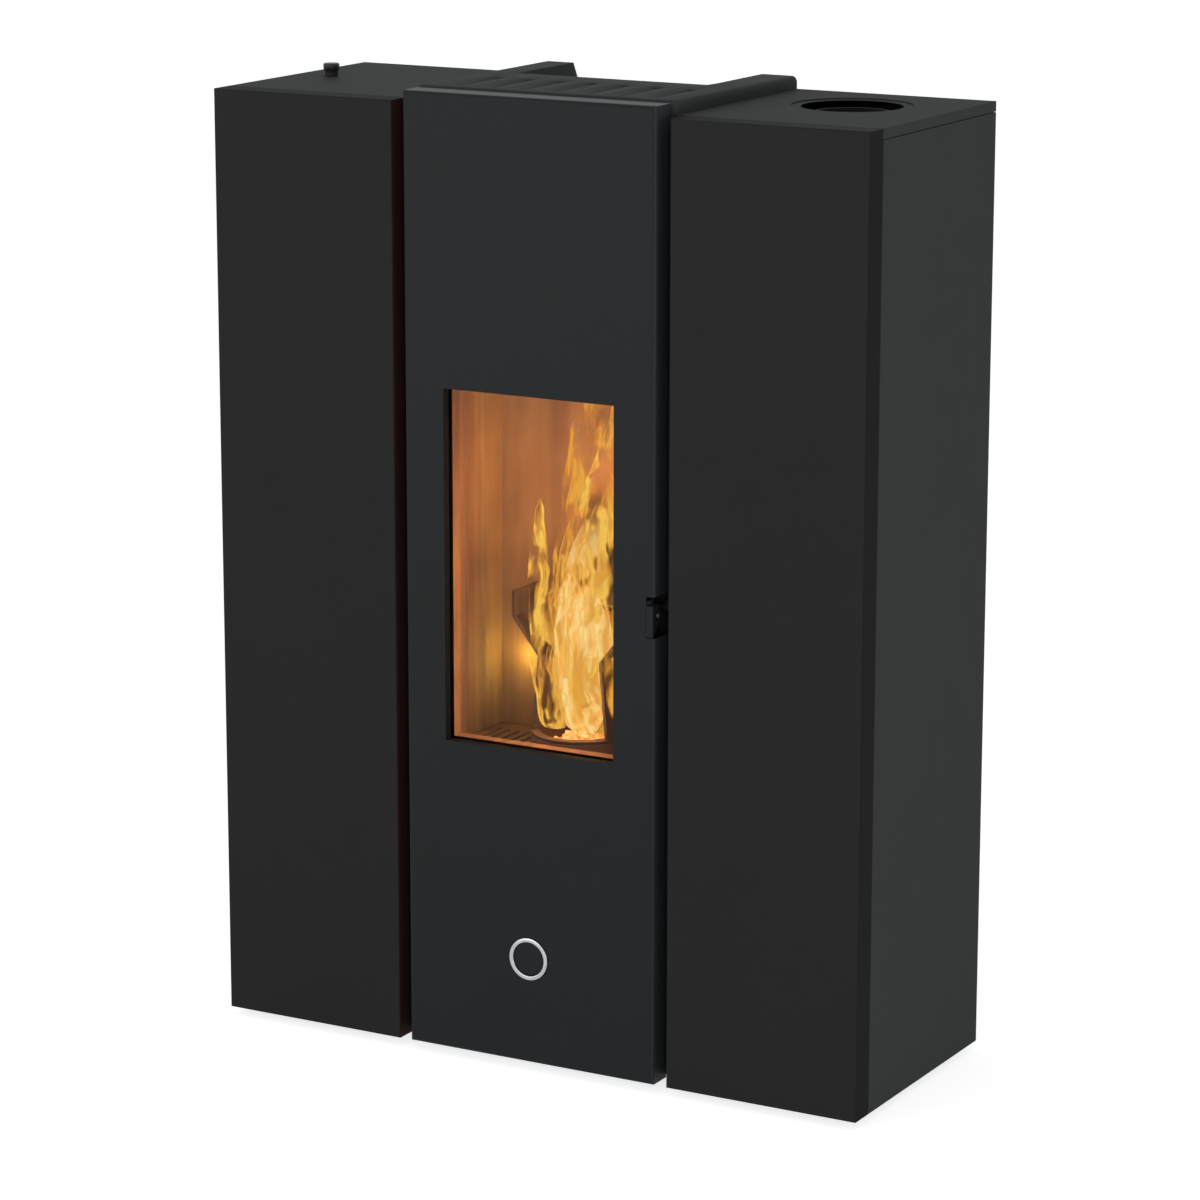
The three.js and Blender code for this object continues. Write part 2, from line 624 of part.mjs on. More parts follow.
function augerTube() {
  const tube = ring('x', auger.tube, auger.bore, [augerRun.low, augerRun.high], [0, 0, 0]);
  const inlet = block([-24, 24], [-20, 20], [8, 40]);
  const outlet = block([augerRun.outlet - 22, augerRun.outlet + 18], [-20, 20], [-40, -8]);
  return cut(tube, [inlet, outlet]);
}

// A shaft with one helical flight, a closed band swept round and along x.
function augerScrew() {
  const [pitch, thick, inner, perTurn] = [45, 5, 6, 10];
  const [from, to] = [augerRun.low + 6, augerRun.high - 12];
  const turns = (to - from - thick) / pitch;
  const count = Math.round(turns * perTurn);
  const corners = [];
  const faces = [[0, 1, 2], [0, 2, 3]];
  for (let i = 0; i <= count; i += 1) {
    const angle = (i / count) * turns * 2 * Math.PI;
    const x = from + (i / count) * (to - from - thick);
    const [c, s] = [Math.cos(angle), Math.sin(angle)];
    corners.push(x, inner * c, inner * s, x, auger.flight * c, auger.flight * s,
      x + thick, auger.flight * c, auger.flight * s, x + thick, inner * c, inner * s);
  }
  for (let i = 0; i < count; i += 1) {
    for (let k = 0; k < 4; k += 1) {
      const [a, b] = [i * 4 + k, i * 4 + ((k + 1) % 4)];
      faces.push([a, a + 4, b + 4], [a, b + 4, b]);
    }
  }
  faces.push([count * 4, count * 4 + 2, count * 4 + 1], [count * 4, count * 4 + 3, count * 4 + 2]);
  const geometry = new THREE.BufferGeometry();
  geometry.setAttribute('position', new THREE.Float32BufferAttribute(corners, 3));
  geometry.setIndex(faces.flat());
  return toSolid(geometry).add(rod('x', 8, [augerRun.low - 14, to + 6], [0, 0, 0], 12));
}

function augerMotor() {
  const end = augerRun.low - gap;
  return join([
    block([end - 22, end], [-36, 36], [-36, 36]),
    rod('x', 27, [end - 74, end - 20], [0, 0, 0]),
  ]).subtract(rod('x', 8.5, [end - 18, end + 1], [0, 0, 0]));
}

// The chute under the auger's outlet, through the back of the chamber.
function pelletChute() {
  const outer = outline([[231, 672], [281, 672], [281, 612], [188, 501], [188, 574], [231, 625]]);
  const inner = outline([[233, 680], [279, 680], [279, 612.8], [180, 494.6], [180, 567.2], [233, 630]]);
  return prism('x', outer, [-28, 28]).subtract(prism('x', inner, [-26, 26])).subtract(augerClearance());
}

// ---- Smoke and air ----
function smokeCollector() {
  const [xs, ys, zs] = [[shellHalf + gap, 300], [70, smokeFan.front - gap], [130, 298]];
  return cut(tray(xs, ys, zs, [[xs[0] + sheet, xs[1] - sheet], [ys[0] + sheet, ys[1] - sheet],
    [zs[0] + sheet, zs[1] - sheet]]), [
    block([xs[0] - 1, xs[0] + 3], [80, 150], [256, 290]),
    rod('y', 30, [ys[1] - 3, ys[1] + 1], [smokeFan.x, 0, smokeFan.z]),
  ]);
}

// A spiral housing with its outlet straight up, drawn from a growing radius.
function volute(inset) {
  const { x, z } = smokeFan;
  const outlet = { left: flue.x - 34 + inset, right: flue.x + 34 - inset, top: 300 };
  const shape = new THREE.Shape();
  const arc = Array.from({ length: 15 }, (_, i) => {
    const angle = (i * 20 + 35) * degrees;
    const radius = 58 + (82 - 58) * (i / 14) - inset;
    return [x + radius * Math.cos(angle), z + radius * Math.sin(angle)];
  });
  shape.moveTo(outlet.left, outlet.top + inset);
  arc.forEach(([a, b]) => shape.lineTo(a, b));
  shape.lineTo(outlet.right, z);
  shape.lineTo(outlet.right, outlet.top + inset);
  shape.closePath();
  return shape;
}

function smokeFanHousing() {
  const { front, back: rear, x, z } = smokeFan;
  return prism('y', volute(0), [front, rear])
    .subtract(prism('y', volute(sheet), [front + sheet, rear - sheet]))
    .subtract(rod('y', 30, [front - 1, front + 3], [x, 0, z]))
    .subtract(rod('y', 9, [rear - 3, rear + 1], [x, 0, z]));
}

// A radial wheel: a disc, a hub and straight blades.
function smokeFanWheel() {
  const { front, back: rear, x, z } = smokeFan;
  const [disc, hub, blades] = [rear - 10, 9, 12];
  const parts = [
    rod('y', 46, [disc - 2, disc], [x, 0, z], 24),
    rod('y', hub, [front + 16, disc], [x, 0, z]),
    rod('y', 4, [disc - 1, rear + 14], [x, 0, z]),
  ];
  for (let i = 0; i < blades; i += 1) {
    const blade = new THREE.BoxGeometry(34, disc - 1 - (front + 10), 2.4);
    blade.translate(28, (disc - 1 + front + 10) / 2, 0);
    blade.rotateY((i / blades) * 2 * Math.PI);
    blade.translate(x, 0, z);
    parts.push(toSolid(blade));
  }
  return join(parts);
}

function smokeFanMotor() {
  const { back: rear, x, z } = smokeFan;
  return turned('y', [[0, rear + 16], [5, rear + 16], [5, rear + gap], [34, rear + gap], [34, rear + 4],
    [30, rear + 6], [30, rear + 50], [24, rear + 54], [0, rear + 54]], [x, 0, z], 18);
}

// The riser widens at the top into the socket that takes the flue pipe.
function smokeRiser() {
  const { x, y, pipe } = flue;
  const plate = block([x - 44, x + 44], [y - 44, y + 27.6], [300.4, 303.4]);
  const profile = [[pipe - 2, 301], [pipe, 301], [pipe, 1036], [46, 1040], [46, 1092], [42, 1092],
    [42, 1046], [pipe - 2, 1042], [pipe - 2, 301]];
  return plate.subtract(rod('z', pipe - 2, [290, 310], [x, y, 0], steps.large))
    .add(turned('z', profile, [x, y, 0], steps.large));
}

function airIntakePipe() {
  const centre = [intake.x, 0, intake.z];
  return ring('y', intake.radius, intake.radius - sheet, [shellBack - 1, back - 1.4], centre)
    .add(ring('y', intake.radius + 6, intake.radius - sheet, [shellBack + gap, shellBack + 3], centre));
}

function roomFanHousing() {
  const { y, z, half } = roomFan;
  const ends = [-1, 1].map((sign) => {
    const plate = outline([[y - 46, z - 46, 20], [y + 100, z - 46, 30], [y + 100, 216], [y + 40, 216],
      [y - 46, z + 40]]);
    return prism('x', plate, mirrored([half + 3, half + 5], sign))
      .subtract(rod('x', 12, [-200, 200], [0, y, z]));
  });
  const shell = [[y - 46, z - 46, 20], [y + 100, z - 46, 30], [y + 100, 216], [y + 98, 216],
    [y + 98, z - 44, 28], [y - 44, z - 44, 18], [y - 44, z - 20], [y - 46, z - 20]];
  const tongue = [[y + 40, 216], [y + 38, 216], [y + 38, z + 46], [y - 20, z + 42], [y - 20, z + 40],
    [y + 40, z + 44]];
  const skins = [shell, tongue].map((points) => prism('x', outline(points), [-half - 4, half + 4]));
  return join([...ends, ...skins]);
}

// A long drum of blades between three discs on one shaft.
function roomFanWheel() {
  const { y, z, radius, half } = roomFan;
  const parts = [-half, -1, half - 2].map((x) => rod('x', radius, [x, x + 2], [0, y, z], 18));
  parts.push(rod('x', 5, [-half - 12, half + 20], [0, y, z], 12));
  const blades = 16;
  for (let i = 0; i < blades; i += 1) {
    const blade = new THREE.BoxGeometry(2 * half - 1, 9, 1.6);
    blade.rotateX(35 * degrees);
    blade.translate(0, radius - 6, 0);
    blade.rotateX((i / blades) * 2 * Math.PI);
    blade.translate(-0.5, y, z);
    parts.push(toSolid(blade));
  }
  return join(parts);
}

function roomFanMotor() {
  const { y, z, half } = roomFan;
  const start = half + 5.4;
  return turned('x', [[0, start + 18], [6, start + 18], [6, start], [30, start], [30, start + 38],
    [24, start + 42], [0, start + 42]], [0, y, z], 18);
}

// ---- Electrics ----
function controlBox() {
  const xs = [352, side - sheet - gap];
  const cover = block(xs, [70, 210], [600, 800]);
  const ribs = Array.from({ length: 6 }, (_, i) =>
    block([xs[0] - 3, xs[0] + 1], [86 + i * 20, 92 + i * 20], [620, 780]));
  return join([cover, ...ribs]);
}

// The rear module with the cord inlet below and the rocker's frame above.
function mainsInlet() {
  const { x, inletZ, switchZ } = mainsPlace;
  const [inside, rear] = [rearPanelFace - 16, rearPanelFace + sheet];
  return cut(join([
    block([x - 14, x + 14], [inside, rear + 1], [inletZ - 10, inletZ + 10]),
    block([x - 11, x + 11], [inside, rear + 1], [switchZ - 15, switchZ + 15]),
    block([x - 20, x + 20], [rear + gap, rear + 3], [inletZ - 16, switchZ + 21]),
  ]), [
    block([x - 11, x + 11], [inside + 4, rear + 5], [inletZ - 7, inletZ + 7]),
    block([x - 9, x + 9], [inside + 2, rear + 4], [switchZ - 13, switchZ + 13]),
  ]);
}

const rocker = { y: rearPanelFace - 2, reach: 6 };

function mainsSwitch() {
  const { x, switchZ: z } = mainsPlace;
  const { y, reach } = rocker;
  const face = y + reach;
  const section = outline([[y - 4, z - 3, 3], [y - 4, z + 3, 3], [face - 1, z + 11.5, 1],
    [face + 2.5, z + 11.5, 0.8], [face, z], [face + 2.5, z - 11.5, 0.8], [face - 1, z - 11.5, 1]]);
  return prism('x', section, [x - 8.5, x + 8.5]);
}

// ---- The stove ----
const pieces = [
  ['base_tray', baseTray(), paint.black],
  ...Object.entries(footPlaces).map(([name, place]) =>
    [`foot_${name}`, levellingFoot(place), paint.rubber]),
  ['left_side_panel', sidePanel(-1), paint.cover],
  ['right_side_panel', sidePanel(1), paint.cover],
  ['left_front_panel', frontPanel(-1), paint.panel],
  ['right_front_panel', frontPanel(1), paint.panel],
  ['rear_panel', rearPanel(), paint.black],
  ['left_upright', upright(-1), paint.black],
  ['right_upright', upright(1).add(latchCatch()), paint.black],
  ['right_top_cover', rightTopCover(), paint.cover],
  ['top_grille', topGrille(), paint.cover],
  ['hopper_lid', hopperLid(), paint.cover],
  ['lid_knob', lidKnob(), paint.plastic],
  ['lid_seal', lidSeal(), paint.rubber],
  ['lid_hinge_bracket', lidHingeBracket(), paint.steel],
  ['door_skin', doorSkin(), paint.door],
  ['door_frame', doorFrame(), paint.black],
  ['window_glass', windowGlass(), paint.glass],
  ['glass_gasket', glassGasket(), paint.black],
  ['rope_seal', ropeSeal(), paint.rope],
  ['lower_hinge_lug', hingeLug(hinge.low + 0.6), paint.steel],
  ['upper_hinge_lug', hingeLug(hinge.high - hinge.length + 0.6), paint.steel],
  ['lower_hinge_bracket', hingeBracket(hinge.low - 4, true), paint.steel],
  ['upper_hinge_bracket', hingeBracket(hinge.high, false), paint.steel],
  ['latch_lever', latchLever(), paint.steel],
  ['latch_bracket', latchBracket(), paint.steel],
  ['button_bezel', buttonBezel(), paint.bright],
  ['power_button', powerButton(), paint.door],
  ['firebox_shell', fireboxShell(), paint.chamber],
  ['back_liner', backLiner(), paint.castIron],
  ['left_liner', sideLiner(-1), paint.castIron],
  ['right_liner', sideLiner(1), paint.castIron],
  ['baffle', baffle(), paint.castIron],
  ['hearth_plate', hearthPlate(), paint.castIron],
  ['burn_pot', burnPot(), paint.castIron],
  ['left_pot_wing', potWing(-1), paint.castIron],
  ['right_pot_wing', potWing(1), paint.castIron],
  ['ash_drawer', ashDrawer(), paint.steel],
  ['igniter', igniter(), paint.steel],
  ['heat_exchanger', heatExchanger(), paint.castIron],
  ['hopper', hopper(), paint.steel],
  ['pellet_chute', pelletChute(), paint.steel],
  ['smoke_collector', smokeCollector(), paint.steel],
  ['smoke_fan_housing', smokeFanHousing(), paint.steel],
  ['smoke_fan_wheel', smokeFanWheel(), paint.steel],
  ['smoke_fan_motor', smokeFanMotor(), paint.plastic],
  ['smoke_riser', smokeRiser(), paint.steel],
  ['air_intake_pipe', airIntakePipe(), paint.steel],
  ['room_fan_housing', roomFanHousing(), paint.steel],
  ['room_fan_wheel', roomFanWheel(), paint.steel],
  ['room_fan_motor', roomFanMotor(), paint.plastic],
  ['control_box', controlBox(), paint.plastic],
  ['mains_inlet', mainsInlet(), paint.plastic],
  ['mains_switch', mainsSwitch(), paint.plastic],
];

const augerPieces = [
  ['auger_tube', augerTube(), paint.steel],
  ['auger_screw', augerScrew(), paint.steel],
  ['auger_motor', augerMotor(), paint.plastic],
];

const feed = new THREE.Group();
feed.applyMatrix4(augerFrame);
augerPieces.forEach((piece) => feed.add(toMesh(...piece)));

const stove = new THREE.Group();
stove.position.set(0, doorProud + ringProud - stoveDepth / 2, footHeight);
pieces.forEach((piece) => stove.add(toMesh(...piece)));
stove.add(feed);

const pelletStove = new THREE.Group();
pelletStove.add(stove);

export default pelletStove;
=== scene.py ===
import bpy
import json
import math
import random
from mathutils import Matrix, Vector


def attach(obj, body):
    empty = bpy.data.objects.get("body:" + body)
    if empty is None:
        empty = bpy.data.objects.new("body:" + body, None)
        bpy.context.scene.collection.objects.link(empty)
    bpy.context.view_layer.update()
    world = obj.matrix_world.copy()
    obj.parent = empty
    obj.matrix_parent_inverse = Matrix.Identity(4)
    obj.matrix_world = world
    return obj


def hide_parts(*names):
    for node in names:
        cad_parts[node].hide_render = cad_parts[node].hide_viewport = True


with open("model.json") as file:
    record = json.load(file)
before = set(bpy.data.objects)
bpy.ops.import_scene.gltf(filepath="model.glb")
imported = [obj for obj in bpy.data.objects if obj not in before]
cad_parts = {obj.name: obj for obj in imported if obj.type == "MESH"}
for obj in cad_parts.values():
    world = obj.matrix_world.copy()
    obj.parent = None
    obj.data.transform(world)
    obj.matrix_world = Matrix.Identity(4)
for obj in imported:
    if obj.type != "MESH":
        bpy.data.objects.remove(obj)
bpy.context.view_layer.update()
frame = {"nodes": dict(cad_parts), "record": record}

cadNodes = frame["nodes"]
mm = 0.001
frontY = -0.1596  # y of the front panels' face
floorZ = 0.010  # z of the panels' lower edge


def at(x, y, z):  # millimetres from the panels' face and lower edge, as a place in the scene
    return Vector((x * mm, frontY + y * mm, floorZ + z * mm))


# ---- small tools for modelling ----

def deselectAll():
    if bpy.context.mode != "OBJECT":
        bpy.ops.object.mode_set(mode="OBJECT")
    bpy.ops.object.select_all(action="DESELECT")


def takeUp(obj):
    deselectAll()
    obj.hide_set(False)
    obj.select_set(True)
    bpy.context.view_layer.objects.active = obj


def editMode(kind="FACE"):
    bpy.ops.object.mode_set(mode="EDIT")
    bpy.ops.mesh.select_mode(type=kind)


def objectMode():
    bpy.ops.object.mode_set(mode="OBJECT")


def pickFaces(obj, test):
    takeUp(obj)
    editMode("FACE")
    bpy.ops.mesh.select_all(action="DESELECT")
    objectMode()
    for face in obj.data.polygons:
        face.select = bool(test(face.center, face.normal))
    editMode("FACE")


def pickEdges(obj, test):
    takeUp(obj)
    editMode("EDGE")
    bpy.ops.mesh.select_all(action="DESELECT")
    objectMode()
    points = obj.data.vertices
    for edge in obj.data.edges:
        a, b = (points[i].co for i in edge.vertices)
        edge.select = bool(test(a, b))
    editMode("EDGE")


def pickPoints(obj, test):
    takeUp(obj)
    editMode("VERT")
    bpy.ops.mesh.select_all(action="DESELECT")
    objectMode()
    for point in obj.data.vertices:
        point.select = bool(test(point.co))
    editMode("VERT")


slack = 0.00005  # metres: points closer than this count as being in one place
loose = 0.0001  # metres, for picking the points that lie on a plane
cutterDepth = 100  # millimetres, enough for a round cutter to pass out of the piece


def near(a, b):
    return abs(a - b) < slack


def startBox(name, low, high):
    deselectAll()
    low, high = Vector(low), Vector(high)
    bpy.ops.mesh.primitive_cube_add(size=1, location=(low + high) / 2)
    obj = bpy.context.object
    obj.name = name
    obj.scale = high - low
    bpy.ops.object.transform_apply(location=True, rotation=True, scale=True)
    return obj


def applyModifier(obj, kind, **values):
    takeUp(obj)
    modifier = obj.modifiers.new(kind.title(), kind)
    for key, value in values.items():
        setattr(modifier, key, value)
    bpy.ops.object.modifier_apply(modifier=modifier.name)


def softenEdges(obj, width, segments=2, angle=35, smooth=32, flatten=True):
    applyModifier(obj, "BEVEL", width=width * mm, segments=segments, limit_method="ANGLE",
                  angle_limit=math.radians(angle), use_clamp_overlap=True)
    takeUp(obj)
    bpy.ops.object.shade_smooth_by_angle(angle=math.radians(smooth))
    if flatten:  # flat faces stay flat beside round edges
        applyModifier(obj, "WEIGHTED_NORMAL", keep_sharp=True, weight=100)


def cutWith(obj, cutter):
    applyModifier(obj, "BOOLEAN", object=cutter, operation="DIFFERENCE", solver="EXACT")
    bpy.data.objects.remove(cutter)


def roundCutter(radius, centre, depth, steps, turn=(0, 0, 0)):
    deselectAll()
    bpy.ops.mesh.primitive_cylinder_add(vertices=steps, radius=radius * mm, depth=depth * mm,
                                        location=at(*centre), rotation=turn)
    return bpy.context.object


thinnest = 0.005  # the radius, in millimetres, that stands for a point on the axis


# an edge loop is extruded and resized along a profile of [radius, distance along the axis]
def turnedShape(name, profile, centre, axis="z", steps=64):
    deselectAll()
    first = max(profile[0][0], thinnest)
    bpy.ops.mesh.primitive_circle_add(vertices=steps, radius=first * mm, fill_type="NOTHING",
                                      location=(0, 0, profile[0][1] * mm))
    obj = bpy.context.object
    obj.name = name
    bpy.ops.object.transform_apply(location=True, rotation=True, scale=True)
    editMode("EDGE")
    bpy.ops.mesh.select_all(action="SELECT")
    radius, along = first, profile[0][1]
    for nextRadius, nextAlong in profile[1:]:
        nextRadius = max(nextRadius, thinnest)
        step = (0, 0, (nextAlong - along) * mm)
        bpy.ops.mesh.extrude_region_move(TRANSFORM_OT_translate={"value": step})
        scale = nextRadius / radius
        bpy.ops.transform.resize(value=(scale, scale, 1), center_override=(0, 0, nextAlong * mm))
        radius, along = nextRadius, nextAlong
    bpy.ops.mesh.select_all(action="SELECT")
    bpy.ops.mesh.remove_doubles(threshold=0.00002)
    bpy.ops.mesh.normals_make_consistent(inside=False)
    objectMode()
    obj.rotation_euler = {"y": (math.radians(-90), 0, 0), "z": (0, 0, 0)}[axis]
    obj.location = centre
    bpy.ops.object.transform_apply(location=True, rotation=True, scale=True)
    bpy.ops.object.shade_smooth_by_angle(angle=math.radians(30))
    return obj


# a CAD node's shape as a clean mesh: shared points and whole flat faces
def copiedNode(name, node):
    deselectAll()
    obj = cadNodes[node].copy()
    obj.data = cadNodes[node].data.copy()
    obj.parent = None
    for key in list(obj.keys()):
        del obj[key]
    obj.name = name
    bpy.context.scene.collection.objects.link(obj)
    takeUp(obj)
    if obj.data.has_custom_normals:
        bpy.ops.mesh.customdata_custom_splitnormals_clear()
    editMode("VERT")
    bpy.ops.mesh.select_all(action="SELECT")
    bpy.ops.mesh.remove_doubles(threshold=0.00001)
    bpy.ops.mesh.dissolve_limited(angle_limit=math.radians(0.6))
    objectMode()
    return obj


def finishPiece(obj, material, body, slotName, *nodes):
    takeUp(obj)
    obj.data.materials.clear()
    obj.data.materials.append(material)
    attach(obj, body)
    if nodes:
        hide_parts(*nodes)


# ---- shared effects, as node groups ----

def newGroup(name, inputs, outputs):
    group = bpy.data.node_groups.new(name, "ShaderNodeTree")
    for label, kind, value in inputs:
        socket = group.interface.new_socket(label, in_out="INPUT", socket_type=kind)
        socket.default_value = value
    for label, kind in outputs:
        group.interface.new_socket(label, in_out="OUTPUT", socket_type=kind)
    return group, group.nodes.new("NodeGroupInput"), group.nodes.new("NodeGroupOutput")


def addNode(tree, kind, links=(), **values):
    node = tree.nodes.new(kind)
    for key, value in values.items():
        setattr(node, key, value)
    for socket, source in dict(links).items():
        target = node.inputs[socket]
        if isinstance(source, bpy.types.NodeSocket):
            tree.links.new(source, target)
        else:
            target.default_value = source
    return node


def noise(tree, vector, scale, detail=3.0, roughness=0.5, distortion=0.0):
    links = {"Vector": vector, "Scale": scale, "Detail": detail,
             "Roughness": roughness, "Distortion": distortion}
    return addNode(tree, "ShaderNodeTexNoise", links).outputs["Fac"]


def spread(tree, value, low, high, toLow=0.0, toHigh=1.0):
    return addNode(tree, "ShaderNodeMapRange", {"Value": value, "From Min": low, "From Max": high,
                                                "To Min": toLow, "To Max": toHigh}).outputs["Result"]


def reckon(tree, operation, a, b):
    return addNode(tree, "ShaderNodeMath", {0: a, 1: b}, operation=operation).outputs[0]


def mixColours(tree, factor, a, b):
    return addNode(tree, "ShaderNodeMix", {0: factor, 6: a, 7: b}, data_type="RGBA").outputs[2]


def weigh(tree, a, b, share):  # a and b added, with their shares
    return reckon(tree, "ADD", reckon(tree, "MULTIPLY", a, share), reckon(tree, "MULTIPLY", b, 1 - share))


def scaleColour(tree, colour, gain):
    return addNode(tree, "ShaderNodeVectorMath", {0: colour, "Scale": gain}, operation="SCALE").outputs[0]


def paintGrain():  # powder coat: fine grain for the bump, slow clouds of colour and sheen
    inputs = [("Vector", "NodeSocketVector", (0, 0, 0)), ("Colour", "NodeSocketColor", (0.02, 0.02, 0.02, 1)),
              ("Cloud", "NodeSocketFloat", 0.12), ("Grain Size", "NodeSocketFloat", 1.0),
              ("Roughness", "NodeSocketFloat", 0.5)]
    outputs = [("Colour", "NodeSocketColor"), ("Roughness", "NodeSocketFloat"), ("Height", "NodeSocketFloat")]
    group, given, result = newGroup("paintGrain", inputs, outputs)
    vector = given.outputs["Vector"]
    size = given.outputs["Grain Size"]
    grain = noise(group, vector, reckon(group, "DIVIDE", 1500.0, size), 2.0, 0.6)
    orange = noise(group, vector, reckon(group, "DIVIDE", 330.0, size), 2.0, 0.5)
    clouds = noise(group, vector, 5.0, 4.0, 0.6, 0.3)
    wipes = noise(group, vector, 23.0, 3.0, 0.6, 0.6)
    slow = weigh(group, clouds, wipes, 0.7)
    shift = reckon(group, "MULTIPLY", spread(group, slow, 0.3, 0.7, -1.0, 1.0), given.outputs["Cloud"])
    fine = reckon(group, "MULTIPLY", spread(group, grain, 0.3, 0.7, -1.0, 1.0), 0.10)
    gain = reckon(group, "ADD", reckon(group, "ADD", shift, fine), 1.0)
    scaled = scaleColour(group, given.outputs["Colour"], gain)
    rough = reckon(group, "ADD", given.outputs["Roughness"], reckon(group, "MULTIPLY", shift, 0.35))
    height = reckon(group, "ADD", grain, reckon(group, "MULTIPLY", orange, 0.8))
    group.links.new(scaled, result.inputs["Colour"])
    group.links.new(rough, result.inputs["Roughness"])
    group.links.new(height, result.inputs["Height"])
    return group


def sootAndHeat():  # fire-browned plates: tan scale, soot clouds and streaks that run up
    inputs = [("Vector", "NodeSocketVector", (0, 0, 0)), ("Clean", "NodeSocketColor", (0.3, 0.2, 0.13, 1)),
              ("Soot", "NodeSocketColor", (0.05, 0.035, 0.025, 1)), ("Amount", "NodeSocketFloat", 0.5)]
    outputs = [("Colour", "NodeSocketColor"), ("Roughness", "NodeSocketFloat"), ("Height", "NodeSocketFloat")]
    group, given, result = newGroup("sootAndHeat", inputs, outputs)
    vector = given.outputs["Vector"]
    stretched = addNode(group, "ShaderNodeMapping", {"Vector": vector, "Scale": (1.0, 1.0, 0.12)}).outputs[0]
    streaks = noise(group, stretched, 60.0, 4.0, 0.6, 0.4)
    clouds = noise(group, vector, 11.0, 5.0, 0.6, 0.5)
    pits = noise(group, vector, 700.0, 3.0, 0.65)
    extra = reckon(group, "MULTIPLY", given.outputs["Amount"], 0.25)
    mask = spread(group, reckon(group, "ADD", weigh(group, streaks, clouds, 0.5), extra), 0.42, 0.82)
    colour = mixColours(group, mask, given.outputs["Clean"], given.outputs["Soot"])
    group.links.new(colour, result.inputs["Colour"])
    group.links.new(spread(group, mask, 0.0, 1.0, 0.62, 0.92), result.inputs["Roughness"])
    height = reckon(group, "ADD", pits, reckon(group, "MULTIPLY", clouds, 0.6))
    group.links.new(height, result.inputs["Height"])
    return group


def brushedSheet():  # rolled steel sheet: short marks along one direction and a spangle of zinc
    inputs = [("Vector", "NodeSocketVector", (0, 0, 0)), ("Colour", "NodeSocketColor", (0.5, 0.5, 0.5, 1)),
              ("Roughness", "NodeSocketFloat", 0.35)]
    outputs = [("Colour", "NodeSocketColor"), ("Roughness", "NodeSocketFloat"), ("Height", "NodeSocketFloat")]
    group, given, result = newGroup("brushedSheet", inputs, outputs)
    vector = given.outputs["Vector"]
    drawn = addNode(group, "ShaderNodeMapping", {"Vector": vector, "Scale": (1, 1, 0.05)}).outputs[0]
    marks = noise(group, drawn, 900.0, 3.0, 0.6)
    spangle = addNode(group, "ShaderNodeTexVoronoi", {"Vector": vector, "Scale": 130.0}).outputs["Color"]
    grey = addNode(group, "ShaderNodeSeparateColor", {0: spangle}).outputs[0]
    zinc = reckon(group, "MULTIPLY", grey, 0.10)
    gain = reckon(group, "ADD", spread(group, marks, 0.3, 0.7, 0.86, 1.06), zinc)
    scaled = scaleColour(group, given.outputs["Colour"], gain)
    rough = reckon(group, "ADD", given.outputs["Roughness"], spread(group, grey, 0.0, 1.0, -0.06, 0.1))
    group.links.new(scaled, result.inputs["Colour"])
    group.links.new(rough, result.inputs["Roughness"])
    group.links.new(marks, result.inputs["Height"])
    return group


groups = {"paint": paintGrain(), "soot": sootAndHeat(), "sheet": brushedSheet()}
print("shared effects ready")


# a material whose colour, roughness and bump come from one of the shared groups
def groupedMaterial(name, kind, values, bump=0.2, distance=0.1, **plain):
    material = bpy.data.materials.new(name)
    material.use_nodes = True
    tree = material.node_tree
    shader = tree.nodes["Principled BSDF"]
    place = addNode(tree, "ShaderNodeTexCoord").outputs["Object"]
    effect = addNode(tree, "ShaderNodeGroup", node_tree=groups[kind])
    tree.links.new(place, effect.inputs["Vector"])
    for socket, value in values.items():
        effect.inputs[socket].default_value = value
    relief = addNode(tree, "ShaderNodeBump", {"Strength": bump, "Distance": distance * mm,
                                              "Height": effect.outputs["Height"]})
    tree.links.new(effect.outputs["Colour"], shader.inputs["Base Color"])
    tree.links.new(effect.outputs["Roughness"], shader.inputs["Roughness"])
    tree.links.new(relief.outputs[0], shader.inputs["Normal"])
    for socket, value in plain.items():
        shader.inputs[socket.replace("_", " ")].default_value = value
    return material


def painted(name, colour, roughness, cloud=0.1, grain=1.0, bump=0.12, specular=0.3):
    values = {"Colour": (*colour, 1), "Cloud": cloud, "Grain Size": grain, "Roughness": roughness}
    return groupedMaterial(name, "paint", values, bump, 0.06, Specular_IOR_Level=specular)


def sooty(name, clean, soot, amount, bump=0.35):
    values = {"Clean": (*clean, 1), "Soot": (*soot, 1), "Amount": amount}
    return groupedMaterial(name, "soot", values, bump, 0.3, Specular_IOR_Level=0.3)


def sheetMetal(name, colour, roughness):
    values = {"Colour": (*colour, 1), "Roughness": roughness}
    return groupedMaterial(name, "sheet", values, 0.08, 0.05, Metallic=1.0)


def glassMaterial():
    material = bpy.data.materials.new("ceramicGlass")
    material.use_nodes = True
    tree = material.node_tree
    shader = tree.nodes["Principled BSDF"]
    place = addNode(tree, "ShaderNodeTexCoord").outputs["Object"]
    haze = noise(tree, place, 9.0, 4.0, 0.6, 0.4)
    tint = mixColours(tree, spread(tree, haze, 0.35, 0.7), (0.93, 0.86, 0.78, 1), (0.86, 0.76, 0.66, 1))
    tree.links.new(tint, shader.inputs["Base Color"])
    shader.inputs["Roughness"].default_value = 0.0
    shader.inputs["Transmission Weight"].default_value = 1.0
    shader.inputs["IOR"].default_value = 1.12
    return material


